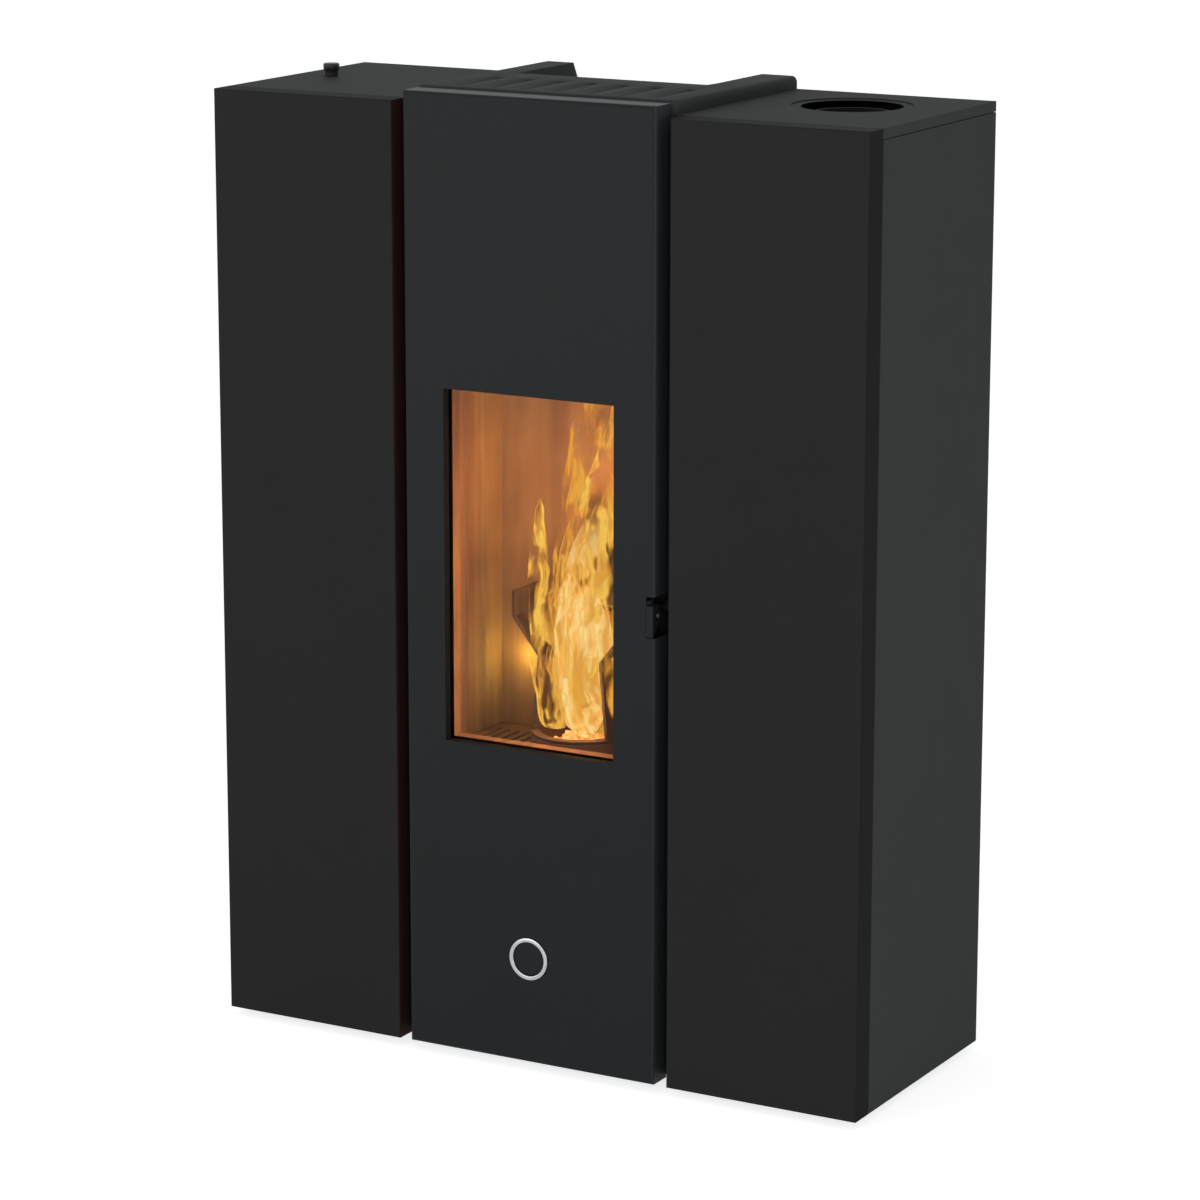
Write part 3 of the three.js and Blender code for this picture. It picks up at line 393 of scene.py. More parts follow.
# a liner in upright bands of colour, which follow each other along one axis: the brown of the heat, and on
# the side liners also a painted highlight and painted glow
def bandedLiner(name, bands, soot, axis, low, high):
    material = sooty(name, bands[0][1], soot, 0.1, 0.3)
    tree = material.node_tree
    effect = next(node for node in tree.nodes if node.type == "GROUP")
    place = next(node for node in tree.nodes if node.type == "TEX_COORD").outputs["Object"]
    across = addNode(tree, "ShaderNodeSeparateXYZ", {0: place}).outputs[axis]
    ramp = addNode(tree, "ShaderNodeValToRGB", {0: spread(tree, across, low, high)})
    stops = ramp.color_ramp.elements
    while len(stops) < len(bands):
        stops.new(0.5)
    for stop, (position, colour) in zip(stops, bands):
        stop.position = position
        stop.color = (*colour, 1)
    tree.links.new(ramp.outputs[0], effect.inputs["Clean"])
    return material


def ropeMaterial():
    material = bpy.data.materials.new("glassRope")
    material.use_nodes = True
    tree = material.node_tree
    shader = tree.nodes["Principled BSDF"]
    place = addNode(tree, "ShaderNodeTexCoord").outputs["Object"]
    wave = {"Vector": place, "Scale": 95.0, "Distortion": 1.5, "Detail": 2.0}
    strands = addNode(tree, "ShaderNodeTexWave", wave, bands_direction="DIAGONAL")
    fibre = noise(tree, place, 900.0, 3.0, 0.7)
    mask = reckon(tree, "MULTIPLY", strands.outputs["Fac"], spread(tree, fibre, 0.2, 0.8, 0.7, 1.1))
    colour = mixColours(tree, mask, (0.10, 0.095, 0.085, 1), (0.42, 0.40, 0.36, 1))
    bump = addNode(tree, "ShaderNodeBump", {"Strength": 0.8, "Distance": 0.0008, "Height": mask})
    tree.links.new(colour, shader.inputs["Base Color"])
    tree.links.new(bump.outputs[0], shader.inputs["Normal"])
    shader.inputs["Roughness"].default_value = 0.95
    return material


# where along the liner each colour stands, and the colour; on the side liner the pale band from 0.33 to 0.37
# is a painted highlight and the lighter, yellower part from 0.64 on is painted glow of the fire; the back
# liner is lighter in its middle, behind the flames, and has two narrow darker bands
sideBandsWithPaintedLight = [
    (0.0, (0.30, 0.17, 0.12)), (0.30, (0.32, 0.19, 0.13)), (0.33, (0.50, 0.34, 0.24)),
    (0.37, (0.50, 0.34, 0.24)), (0.40, (0.27, 0.16, 0.11)), (0.60, (0.29, 0.17, 0.11)),
    (0.64, (0.36, 0.24, 0.13)), (1.0, (0.38, 0.26, 0.13)),
]
backBands = [
    (0.0, (0.40, 0.25, 0.14)), (0.20, (0.42, 0.26, 0.14)), (0.24, (0.27, 0.17, 0.10)),
    (0.30, (0.30, 0.18, 0.11)), (0.33, (0.42, 0.26, 0.15)), (0.67, (0.42, 0.26, 0.15)),
    (0.70, (0.30, 0.18, 0.11)), (1.0, (0.40, 0.25, 0.14)),
]
finishes = {
    "panel": painted("panelPaint", (0.0220, 0.0220, 0.0220), 0.62, 0.05, 1.0, 0.12, 0.05),
    "door": painted("doorPaint", (0.0132, 0.0148, 0.0156), 0.45, 0.06, 1.4, 0.08, 0.10),
    "cover": painted("coverPaint", (0.0560, 0.0605, 0.0590), 0.65, 0.06, 1.0, 0.12, 0.02),
    # painted shade: a darker copy of the panel paint for the front panels' top and side returns
    "panelReturnShade": painted("panelReturnPaintedShade", (0.0140, 0.0143, 0.0145), 0.62, 0.06, 1.0, 0.12, 0.02),
    "redBlack": painted("redBlackPaint", (0.034, 0.014, 0.014), 0.55, 0.06, 1.0, 0.12, 0.04),
    # painted light: a lighter copy of the door paint for the door's side returns, which lie in the shade of
    # the narrow gaps
    "doorReturnLit": painted("doorReturnPaintedLight", (0.0270, 0.0320, 0.0350), 0.45, 0.06, 1.0, 0.12, 0.10),
    "black": painted("stoveBlack", (0.006, 0.006, 0.0065), 0.75, 0.2, 1.8, 0.3, 0.15),
    "plastic": painted("blackPlastic", (0.010, 0.010, 0.011), 0.45, 0.1, 0.7, 0.1, 0.35),
    "rubber": painted("blackRubber", (0.010, 0.010, 0.010), 0.85, 0.2, 1.5, 0.25, 0.2),
    "sheet": sheetMetal("sheetSteel", (0.50, 0.50, 0.51), 0.38),
    "pipe": painted("pipeBlack", (0.008, 0.008, 0.008), 0.7, 0.15, 1.6, 0.2, 0.15),
    "ring": sheetMetal("ringMetal", (0.42, 0.43, 0.44), 0.26),
    "chamber": sooty("chamberSteel", (0.28, 0.17, 0.12), (0.10, 0.06, 0.045), 0.2),
    "liner": sooty("linerIron", (0.34, 0.22, 0.14), (0.13, 0.08, 0.05), 0.2, 0.3),
    # the side liners' bands hold a painted highlight band and painted glow of the fire
    "sideLiner": bandedLiner(
        "bandedLiner", sideBandsWithPaintedLight, (0.16, 0.10, 0.07), 1, at(0, 40, 0).y, at(0, 190, 0).y),
    "backLiner": bandedLiner(
        "backLiner", backBands, (0.18, 0.11, 0.07), 0, at(-150, 0, 0).x, at(150, 0, 0).x),
    "hearth": sooty("hearthIron", (0.26, 0.16, 0.11), (0.09, 0.055, 0.04), 0.3),
    "pot": sooty("potIron", (0.13, 0.085, 0.065), (0.05, 0.033, 0.026), 0.4),
    "exchanger": sooty("finIron", (0.03, 0.028, 0.026), (0.012, 0.011, 0.010), 0.4),
    "glass": glassMaterial(),
    "rope": ropeMaterial(),
}
slotFinish = {
    "panel_paint": "panel", "door_paint": "door", "cover_paint": "cover", "black_paint": "black",
    "chamber_steel": "chamber", "cast_iron": "liner", "sheet_steel": "sheet", "bright_ring": "ring",
    "rubber": "rubber", "rope": "rope", "plastic": "plastic", "glass": "glass",
}
nodeFinish = {"hearth_plate": "hearth", "burn_pot": "pot", "left_pot_wing": "pot", "right_pot_wing": "pot",
              "heat_exchanger": "exchanger", "smoke_riser": "pipe"}
for part in frame["record"]["subparts"]:
    node = part["node"]
    mesh = cadNodes[node].data
    mesh.materials.clear()
    mesh.materials.append(finishes[nodeFinish.get(node, slotFinish[part["material_slot"]])])
print("finishes on every node")


# ---- casing ----

panelPlan = {"edge": 177, "side": 415, "depth": 33, "height": 1100, "radius": 2.0, "sheet": 2.0}


# a box with its back taken away and its front edges rounded
def foldedFront(name, low, high, radius, segments=5):
    obj = startBox(name, low, high)
    front, back = low[1], high[1]
    pickEdges(obj, lambda a, b: near(a.y, front) and near(b.y, front))
    bpy.ops.mesh.bevel(offset=radius * mm, segments=segments, profile=0.5, affect="EDGES")
    pickFaces(obj, lambda c, n: near(c.y, back) and n.y > 0.9)
    bpy.ops.mesh.delete(type="FACE")
    objectMode()
    return obj


def giveThickness(obj, thickness):
    applyModifier(obj, "SOLIDIFY", thickness=thickness * mm, offset=-1.0, use_even_offset=True)


def secondFinish(obj, finish, chosen):  # one more finish, on the faces chosen by centre and normal
    obj.data.materials.append(finishes[finish])
    for face in obj.data.polygons:
        if chosen(face.center, face.normal):
            face.material_index = len(obj.data.materials) - 1


def frontPanel(name, xLow, xHigh, node):
    plan = panelPlan
    obj = foldedFront(name, at(xLow, 0, 0), at(xHigh, plan["depth"], plan["height"]), plan["radius"])
    giveThickness(obj, plan["sheet"])
    softenEdges(obj, 0.35, 2, 50)
    finishPiece(obj, finishes["panel"], "cabinet", "panel_paint", node)
    inward = -1 if xLow > 0 else 1
    # painted shade on the panel's returns: they get a darker copy of its front's paint
    secondFinish(obj, "panelReturnShade", lambda centre, normal: normal.y > -0.3)
    secondFinish(obj, "redBlack", lambda centre, normal: normal.x * inward > 0.8)


frontPanel("leftFrontPanelPainted", -panelPlan["side"], -panelPlan["edge"], "left_front_panel")
frontPanel("rightFrontPanelPainted", panelPlan["edge"], panelPlan["side"], "right_front_panel")

foldedSheets = {
    "leftSidePanelFolded": ("left_side_panel", "cabinet", "cover", "cover_paint", 0.6),
    "rightSidePanelFolded": ("right_side_panel", "cabinet", "cover", "cover_paint", 0.6),
    "hopperLidFolded": ("hopper_lid", "lid", "cover", "cover_paint", 1.2),
    "baseTrayFolded": ("base_tray", "cabinet", "black", "black_paint", 0.5),
    "leftUprightFolded": ("left_upright", "cabinet", "black", "black_paint", 0.4),
    "fireboxWelded": ("firebox_shell", "cabinet", "black", "chamber_steel", 0.4),
    "doorFrameFolded": ("door_frame", "door", "black", "black_paint", 0.4),
}
rimPlan = {"half": 119, "low": 362, "high": 790}  # the door frame's return round the window
chamberPlan = {"half": 150.3, "low": 245.7, "high": 903.3, "flange": 43}


def inside(centre, plan):
    return abs(centre.x) < plan["half"] * mm and at(0, 0, plan["low"]).z < centre.z < at(0, 0, plan["high"]).z


burntParts = {  # which faces the fire has browned
    "door_frame": lambda centre, normal: abs(normal.y) < 0.5 and inside(centre, rimPlan),
    "firebox_shell": lambda centre, normal: (
        centre.y > at(0, chamberPlan["flange"], 0).y and inside(centre, chamberPlan)),
}
sideGap = 1.5  # the shadow line between a front panel and the body's side
for name, (node, body, finish, slotName, width) in foldedSheets.items():
    piece = copiedNode(name, node)
    if "side_panel" in node:
        frontMost = min(point.co.y for point in piece.data.vertices)
        pickPoints(piece, lambda place: place.y < frontMost + loose)
        bpy.ops.transform.translate(value=(0, sideGap * mm, 0))
        objectMode()
    softenEdges(piece, width, 3)
    finishPiece(piece, finishes[finish], body, slotName, node)
    if node in burntParts:
        secondFinish(piece, "chamber", burntParts[node])
print("folded sheets done")

coverPlan = {
    "left": 167.6, "right": 415, "front": 33.4, "back": 324.1, "low": 1088.4, "top": 1100, "sheet": 2.0,
    "hole": (291, 213), "holeRadius": 57, "rimRadius": 68, "rimDepth": 1.5,
}


def rightCover():
    plan = coverPlan
    low = at(plan["left"], plan["front"], plan["low"])
    high = at(plan["right"], plan["back"], plan["top"])
    obj = startBox("rightCoverFolded", low, high)
    pickFaces(obj, lambda c, n: n.z < -0.9)
    bpy.ops.mesh.delete(type="FACE")
    objectMode()
    giveThickness(obj, plan["sheet"])
    x, y = plan["hole"]
    rimFloor, holeFloor = plan["top"] - plan["rimDepth"], plan["low"] - plan["sheet"]
    for radius, floor in ((plan["rimRadius"], rimFloor), (plan["holeRadius"], holeFloor)):
        cutWith(obj, roundCutter(radius, (x, y, floor + cutterDepth / 2), cutterDepth, 96))
    softenEdges(obj, 0.5, 3, 40)
    finishPiece(obj, finishes["cover"], "cabinet", "cover_paint", "right_top_cover")


rightCover()

stiffeners = {  # folded strips that close the gaps under the cover and the lid
    "coverStiffener": ((172, 299.4, 1040), (411, 301.4, 1097.4)),
    "lidStiffener": ((-411, 299.4, 1040), (-190, 301.4, 1086)),
}
for name, (low, high) in stiffeners.items():
    strip = startBox(name, at(*low), at(*high))
    softenEdges(strip, 0.3)
    finishPiece(strip, finishes["black"], "cabinet", "black_paint")

crownPlan = {
    "half": 167, "front": 36.5, "back": 324.1, "skirt": 1088, "top": 1114.5, "sheet": 2.0,
    "edge": 7.0, "frontEdge": 4.0, "recess": 194, "arm": 24, "slope": 24, "floor": 1094,
    "count": 7, "pitch": 41.3, "shift": 6, "ends": (52, 146), "fold": 5,
    "vane": 24, "drop": 3.8, "slit": 3.2,
    "bends": ((0.66, 0.14), (0.33, 0.5), (0, 1.0)),  # share of the vane left to the slit, share of the drop
}


def topCrown():
    plan = crownPlan
    half, top = plan["half"], plan["top"]
    obj = startBox("crownPressed", at(-half, plan["front"], plan["skirt"]), at(half, plan["back"], top))
    topZ, frontEdgeY = at(0, 0, top).z, at(0, plan["front"], 0).y
    underEdge = topZ - (plan["edge"] + 0.5) * mm
    pickEdges(obj, lambda a, b: near(a.z, topZ) and near(b.z, topZ) and near(a.x, b.x) and not near(a.y, b.y))
    bpy.ops.mesh.bevel(offset=plan["edge"] * mm, segments=6, profile=0.5, affect="EDGES")
    pickEdges(obj, lambda a, b: near(a.y, frontEdgeY) and near(b.y, frontEdgeY)
              and min(a.z, b.z) > underEdge and not (near(a.x, b.x) and not near(a.z, b.z)))
    bpy.ops.mesh.bevel(offset=plan["frontEdge"] * mm, segments=4, profile=0.5, affect="EDGES")
    pickFaces(obj, lambda c, n: n.z < -0.9)
    bpy.ops.mesh.delete(type="FACE")
    objectMode()
    pressLouvres(obj, plan, topZ)
    sinkRecess(obj, plan, topZ)
    giveThickness(obj, plan["sheet"])
    softenEdges(obj, 0.4, 2, 28, 40, flatten=False)
    finishPiece(obj, finishes["cover"], "cabinet", "cover_paint", "top_grille")


def scoreTop(obj, topZ, x=None, y=None):  # a line across the flat top, at one x or one y
    pickFaces(obj, lambda c, n: n.z > 0.99 and near(c.z, topZ))
    place = at(x or 0, y or 0, 0)
    normal = (1, 0, 0) if x is not None else (0, 1, 0)
    bpy.ops.mesh.bisect(plane_co=place, plane_no=normal)
    objectMode()


def pressLouvres(obj, plan, topZ):
    low, high = plan["ends"]
    slits = [(i - (plan["count"] - 1) / 2) * plan["pitch"] + plan["shift"] for i in range(plan["count"])]
    for y in (low, low + plan["fold"], high - plan["fold"], high):
        scoreTop(obj, topZ, y=y)
    lines = [-plan["vane"]] + [-plan["vane"] * left for left, share in plan["bends"]] + [plan["slit"]]
    for x in slits:
        for offset in lines:
            scoreTop(obj, topZ, x=x + offset)
    yLow, yHigh = at(0, low + plan["fold"], 0).y, at(0, high - plan["fold"], 0).y
    underVanes = topZ - 5 * mm  # lower than the vanes are pressed
    for x in slits:
        for left, share in plan["bends"]:
            here = (x - plan["vane"] * left) * mm
            pickPoints(obj, lambda p: near(p.x, here) and yLow - loose < p.y < yHigh + loose
                       and p.z > topZ - loose)
            bpy.ops.transform.translate(value=(0, 0, -plan["drop"] * share * mm))
            objectMode()
        a, b = x * mm, (x + plan["slit"]) * mm
        pickFaces(obj, lambda c, n: a < c.x < b and yLow < c.y < yHigh and c.z > underVanes)
        bpy.ops.mesh.delete(type="FACE")
        objectMode()


def sinkRecess(obj, plan, topZ):
    outer = plan["half"] - plan["arm"]
    inner = outer - plan["slope"]
    for y in (plan["recess"], plan["recess"] + plan["slope"]):
        scoreTop(obj, topZ, y=y)
    for x in (-outer, -inner, inner, outer):
        scoreTop(obj, topZ, x=x)
    depth = plan["top"] - plan["floor"]
    start = at(0, plan["recess"] + plan["slope"], 0).y
    pickPoints(obj, lambda p: abs(p.x) < inner * mm + slack and p.y > start - slack and p.z > topZ - loose)
    bpy.ops.transform.translate(value=(0, 0, -depth * mm))
    objectMode()


topCrown()
print("crown done")

knobPlan = {
    "centre": (-367, 175, 1100.3),
    "profile": [
        (0, 0), (7.4, 0), (8.0, 0.6), (8.0, 5.2), (8.3, 6.4), (9.3, 8.6), (9.5, 9.4),
        (9.5, 13.2), (9.2, 14.2), (8.4, 14.8), (5.0, 15.0), (0, 15.0),
    ],
}
knob = turnedShape("lidKnobTurned", knobPlan["profile"], at(*knobPlan["centre"]), "z", 48)
finishPiece(knob, finishes["plastic"], "lid", "plastic", "lid_knob")

riserPlan = {
    "centre": (291, 213, 0),
    "profile": [
        (38, 303.5), (40, 303.5), (40, 1036), (42, 1039), (46, 1041), (46, 1091.4),
        (45.4, 1092), (42.6, 1092), (42, 1091.4), (42, 1046), (38, 1042), (38, 303.5),
    ],
    "flange": ((247, 169, 300.4), (335, 240.6, 303.4)),
    "bore": 38, "boreCentre": (291, 213, 302), "boreDepth": 30,
}
riser = turnedShape("flueRiserRound", riserPlan["profile"], at(*riserPlan["centre"]), "z", 72)
flange = startBox("riserFlange", at(*riserPlan["flange"][0]), at(*riserPlan["flange"][1]))
cutWith(flange, roundCutter(riserPlan["bore"], riserPlan["boreCentre"], riserPlan["boreDepth"], 72))
softenEdges(flange, 0.4)
finishPiece(riser, finishes["pipe"], "cabinet", "sheet_steel", "smoke_riser")
finishPiece(flange, finishes["sheet"], "cabinet", "sheet_steel")

footPlan = {
    "profile": [
        (0, -10), (18.6, -10), (20, -9), (20, -7), (19, -6.2), (9.5, -4.6),
        (9, -4), (9, 2), (5, 2), (5, 22), (0, 22),
    ],
    "places": {
        "front_left": (-380, 75), "front_right": (380, 75),
        "rear_left": (-380, 270), "rear_right": (380, 270),
    },
}
for name, (x, y) in footPlan["places"].items():
    foot = turnedShape("foot_" + name + "_turned", footPlan["profile"], at(x, y, 0), "z", 40)
    finishPiece(foot, finishes["rubber"], "cabinet", "rubber", "foot_" + name)
print("casing done")


# ---- door ----

doorPlan = {
    "half": 161, "front": -2.6, "back": 31, "low": 0.6, "top": 1112.5, "radius": 5.0, "sheet": 2.0,
    "window": (109.5, 371.5, 780), "reveal": 8.0, "ringZ": 126, "ringHole": 21.5, "ringCut": 30,
    "latchNotch": ((150.8, -4, 522), (163, 33, 569)),
    "hingeNotch": {"left": -162, "right": -157.6, "back": 32, "height": 7.2, "feet": (22.4, 1064.4)},
    "returnDepth": 1.8,  # how far in from the edge the folded returns' faces may lie
}


def doorShell():
    plan = doorPlan
    half, low, high = plan["window"]
    obj = foldedFront("doorShellPressed", at(-plan["half"], plan["front"], plan["low"]),
                      at(plan["half"], plan["back"], plan["top"]), plan["radius"], 7)
    frontFace = at(0, plan["front"], 0).y
    for place, normal in ((at(-half, 0, 0), (1, 0, 0)), (at(half, 0, 0), (1, 0, 0)),
                          (at(0, 0, low), (0, 0, 1)), (at(0, 0, high), (0, 0, 1))):
        pickFaces(obj, lambda c, n: n.y < -0.99 and near(c.y, frontFace))
        bpy.ops.mesh.bisect(plane_co=place, plane_no=normal)
        objectMode()
    a, b = at(-half, 0, low), at(half, 0, high)
    pickFaces(obj, lambda c, n: n.y < -0.99 and a.x < c.x < b.x and a.z < c.z < b.z)
    inward = (0, (plan["reveal"] - plan["front"]) * mm, 0)
    bpy.ops.mesh.extrude_region_move(TRANSFORM_OT_translate={"value": inward})
    bpy.ops.mesh.delete(type="FACE")
    objectMode()
    giveThickness(obj, plan["sheet"])
    turn = (math.radians(90), 0, 0)
    cutWith(obj, roundCutter(plan["ringHole"], (0, 0, plan["ringZ"]), plan["ringCut"], 96, turn))
    cutWith(obj, startBox("latchNotch", at(*plan["latchNotch"][0]), at(*plan["latchNotch"][1])))
    notch = plan["hingeNotch"]
    for z in notch["feet"]:
        low, high = at(notch["left"], 0, z), at(notch["right"], notch["back"], z + notch["height"])
        cutWith(obj, startBox("hingeNotch", low, high))
    softenEdges(obj, 0.5, 3, 50)
    finishPiece(obj, finishes["door"], "door", "door_paint", "door_skin")
    # painted light on the door's side returns: they get a lighter copy of the door paint
    edge = (plan["half"] - plan["returnDepth"]) * mm
    secondFinish(obj, "doorReturnLit", lambda centre, normal: abs(normal.x) > 0.6 and abs(centre.x) > edge)


doorShell()

buttonPlan = {
    "centre": (0, 0, doorPlan["ringZ"]),
    "ring": [
        (20.2, 13), (20.2, -4.3), (20.5, -4.75), (21.0, -4.9), (24.1, -4.9), (24.75, -4.6),
        (25, -4.0), (25, -2.9), (21.1, -2.9), (21.1, 13), (20.2, 13),
    ],
    "barrel": [(0, 13.1), (21, 13.1), (21, 16), (12, 17), (12, 24), (0, 24)],
    "cap": [
        (0, 6), (19.8, 6), (19.8, -2.8), (19.5, -3.4), (18.8, -3.7),
        (17.5, -3.75), (12, -3.6), (6, -3.5), (0, -3.5),
    ],
}
ring = turnedShape("startRingTurned", buttonPlan["ring"], at(*buttonPlan["centre"]), "y", 128)
finishPiece(ring, finishes["ring"], "door", "bright_ring", "button_bezel")
barrel = turnedShape("buttonBarrel", buttonPlan["barrel"], at(*buttonPlan["centre"]), "y", 48)
finishPiece(barrel, finishes["plastic"], "door", "bright_ring")
cap = turnedShape("startButtonCap", buttonPlan["cap"], at(*buttonPlan["centre"]), "y", 96)
finishPiece(cap, finishes["door"], "start_button", "door_paint", "power_button")

leverPiece = copiedNode("latchLeverPlate", "latch_lever")
softenEdges(leverPiece, 0.5, 3)
finishPiece(leverPiece, finishes["door"], "door_latch", "door_paint", "latch_lever")
print("door done")


# ---- fire ----

smoothCopies = {
    "burnPotCast": ("burn_pot", "pot", 0.8), "leftPotWingCast": ("left_pot_wing", "pot", 0.8),
    "rightPotWingCast": ("right_pot_wing", "pot", 0.8), "baffleCast": ("baffle", "liner", 1.0),
    "backLinerCast": ("back_liner", "backLiner", 0.6), "leftLinerCast": ("left_liner", "sideLiner", 0.6),
    "rightLinerCast": ("right_liner", "sideLiner", 0.6),
}
for name, (node, finish, width) in smoothCopies.items():
    piece = copiedNode(name, node)
    softenEdges(piece, width, 2)
    finishPiece(piece, finishes[finish], "cabinet", "cast_iron", node)


flamePlan = {"foot": 372, "flat": 0.7, "waves": 7, "swing": 0.22, "billow": 0.3, "billowScale": 0.028}


# streaks drawn up the flame: a wide noise bends the fine one, and both set its colour and its gaps
def flameMaterial(name, cool, hot, streak, gap, strength, top):
    material = bpy.data.materials.new(name)
    material.use_nodes = True
    tree = material.node_tree
    shader = tree.nodes["Principled BSDF"]
    place = addNode(tree, "ShaderNodeTexCoord").outputs["Object"]
    wide = {"Vector": place, "Scale": 11.0, "Detail": 3.0}
    bend = addNode(tree, "ShaderNodeTexNoise", wide).outputs["Color"]
    sway = addNode(tree, "ShaderNodeVectorMath", {0: bend, "Scale": 0.045}, operation="SCALE").outputs[0]
    bent = addNode(tree, "ShaderNodeVectorMath", {0: place, 1: sway}, operation="ADD").outputs[0]
    drawn = addNode(tree, "ShaderNodeMapping", {"Vector": bent, "Scale": (1.0, 1.0, 0.15)}).outputs[0]
    licks = noise(tree, drawn, streak, 4.0, 0.5, 0.4)
    billows = noise(tree, bent, 17.0, 2.0, 0.5)
    height = addNode(tree, "ShaderNodeSeparateXYZ", {0: place}).outputs[2]
    climb = spread(tree, height, at(0, 0, flamePlan["foot"]).z, at(0, 0, top).z)
    both = weigh(tree, licks, billows, 0.75)
    heat = reckon(tree, "SUBTRACT", spread(tree, both, 0.42, 0.60), reckon(tree, "MULTIPLY", climb, 0.25))
    colour = mixColours(tree, heat, (*cool, 1), (*hot, 1))
    thinned = reckon(tree, "SUBTRACT", both, reckon(tree, "MULTIPLY", climb, 0.07))
    ragged = spread(tree, thinned, gap, gap + 0.10)
    faded = reckon(tree, "MULTIPLY", ragged, spread(tree, climb, 1.0, 0.7))
    tree.links.new(colour, shader.inputs["Emission Color"])
    tree.links.new(faded, shader.inputs["Alpha"])
    shader.inputs["Emission Strength"].default_value = strength
    shader.inputs["Base Color"].default_value = (0, 0, 0, 1)
    shader.inputs["Specular IOR Level"].default_value = 0.0
    shader.inputs["Roughness"].default_value = 1.0
    return material


flameKinds = {
    "core": flameMaterial("flameCore", (1.0, 0.46, 0.05), (1.0, 0.86, 0.38), 84.0, 0.38, 1.05, 640),
    "body": flameMaterial("flameBody", (0.72, 0.24, 0.02), (1.0, 0.68, 0.12), 74.0, 0.45, 0.98, 800),
    "veil": flameMaterial("flameVeil", (0.55, 0.17, 0.02), (0.95, 0.50, 0.07), 62.0, 0.47, 0.9, 880),
}
flameLobes = [
    # x, y, height, width, lean x, lean y, twist, kind; no more than four lie behind each other
    (8, 108, 290, 36, 10, 2, 30, "core"), (8, 114, 400, 50, 30, 4, -30, "body"),
    (-26, 104, 270, 28, -22, 0, 40, "body"), (14, 120, 500, 66, 40, 6, 50, "veil"),
]


lobeProfile = [  # share of the width, share of the height
    (0, 0), (0.42, 0.004), (0.60, 0.03), (0.80, 0.10), (0.96, 0.20), (1.0, 0.30),
    (0.93, 0.41), (0.78, 0.53), (0.60, 0.65), (0.42, 0.77), (0.22, 0.90), (0, 1.0),
]


def flameLobe(index, x, y, height, width, leanX, leanY, twist, kind):
    plan = flamePlan
    base = at(x, y, plan["foot"])
    profile = [(width * r, height * z) for r, z in lobeProfile]
    obj = turnedShape("flameLobe" + str(index), profile, base, "z", 32)
    takeUp(obj)
    editMode("VERT")
    bpy.ops.mesh.select_all(action="SELECT")
    bpy.ops.mesh.subdivide(number_cuts=1, smoothness=0.6)
    objectMode()
    dice = random.Random(index * 7 + 1)
    phase = dice.uniform(0, 6.28)
    for point in obj.data.vertices:  # the lobe sways and turns as it rises
        climb = max(0.0, (point.co.z - base.z) / (height * mm))
        turn = math.radians(twist) * climb
        dx, dy = point.co.x - base.x, (point.co.y - base.y) * plan["flat"]
        wave = math.sin(climb * plan["waves"] + phase) * plan["swing"] * width * climb
        point.co.x = base.x + dx * math.cos(turn) - dy * math.sin(turn) + (leanX * climb ** 1.4 + wave) * mm
        point.co.y = base.y + dx * math.sin(turn) + dy * math.cos(turn) + (leanY * climb + wave * 0.4) * mm
    billow = bpy.data.textures.new("flameBillow" + str(index), "CLOUDS")
    billow.noise_scale = plan["billowScale"]
    strength = width * plan["billow"] * mm
    applyModifier(obj, "DISPLACE", texture=billow, strength=strength, texture_coords="GLOBAL")
    takeUp(obj)
    bpy.ops.object.shade_smooth()
    finishPiece(obj, flameKinds[kind], "cabinet", "cast_iron")


for index, lobe in enumerate(flameLobes):
    flameLobe(index, *lobe)


def emberMaterial():
    material = bpy.data.materials.new("glowingPellets")
    material.use_nodes = True
    tree = material.node_tree
    shader = tree.nodes["Principled BSDF"]
    place = addNode(tree, "ShaderNodeTexCoord").outputs["Object"]
    heat = noise(tree, place, 90.0, 4.0, 0.6, 0.6)
    colour = mixColours(tree, spread(tree, heat, 0.4, 0.62), (0.9, 0.16, 0.02, 1), (1.0, 0.62, 0.2, 1))
    char = mixColours(tree, spread(tree, heat, 0.35, 0.5), (0.02, 0.015, 0.012, 1), (0.25, 0.1, 0.04, 1))
    tree.links.new(colour, shader.inputs["Emission Color"])
    tree.links.new(char, shader.inputs["Base Color"])
    shader.inputs["Emission Strength"].default_value = 1.4
    shader.inputs["Roughness"].default_value = 0.9
    return material


pelletPlan = {
    "count": 46, "radius": 3.0, "length": (10, 18), "tilt": ((1.1, 2.0), (-0.3, 0.3), (0, 6.28)),
    "spread": 34, "y": 118, "low": 342, "heap": 26, "seed": 11, "goldenAngle": 2.399,
}


def pelletBed():
    plan = pelletPlan
    dice = random.Random(plan["seed"])
    deselectAll()
    made = []
    for i in range(plan["count"]):
        reach = plan["spread"] * math.sqrt((i + 0.5) / plan["count"])
        angle = i * plan["goldenAngle"]
        rise = plan["low"] + plan["heap"] * (1 - (reach / plan["spread"]) ** 2) + dice.uniform(-2, 3)
        bpy.ops.mesh.primitive_cylinder_add(
            vertices=10, radius=plan["radius"] * mm, depth=dice.uniform(*plan["length"]) * mm,
            location=at(reach * math.cos(angle), plan["y"] + reach * math.sin(angle), rise),
            rotation=tuple(dice.uniform(*limits) for limits in plan["tilt"]))
        made.append(bpy.context.object)
    for obj in made:
        obj.select_set(True)
    bpy.context.view_layer.objects.active = made[0]
    bpy.ops.object.join()
    bed = bpy.context.object
    bed.name = "pelletBed"
    bpy.ops.object.transform_apply(location=True, rotation=True, scale=True)
    softenEdges(bed, 0.5, 2)
    finishPiece(bed, emberMaterial(), "cabinet", "cast_iron")


pelletBed()
print("fire done")


# ---- stage, light and camera ----

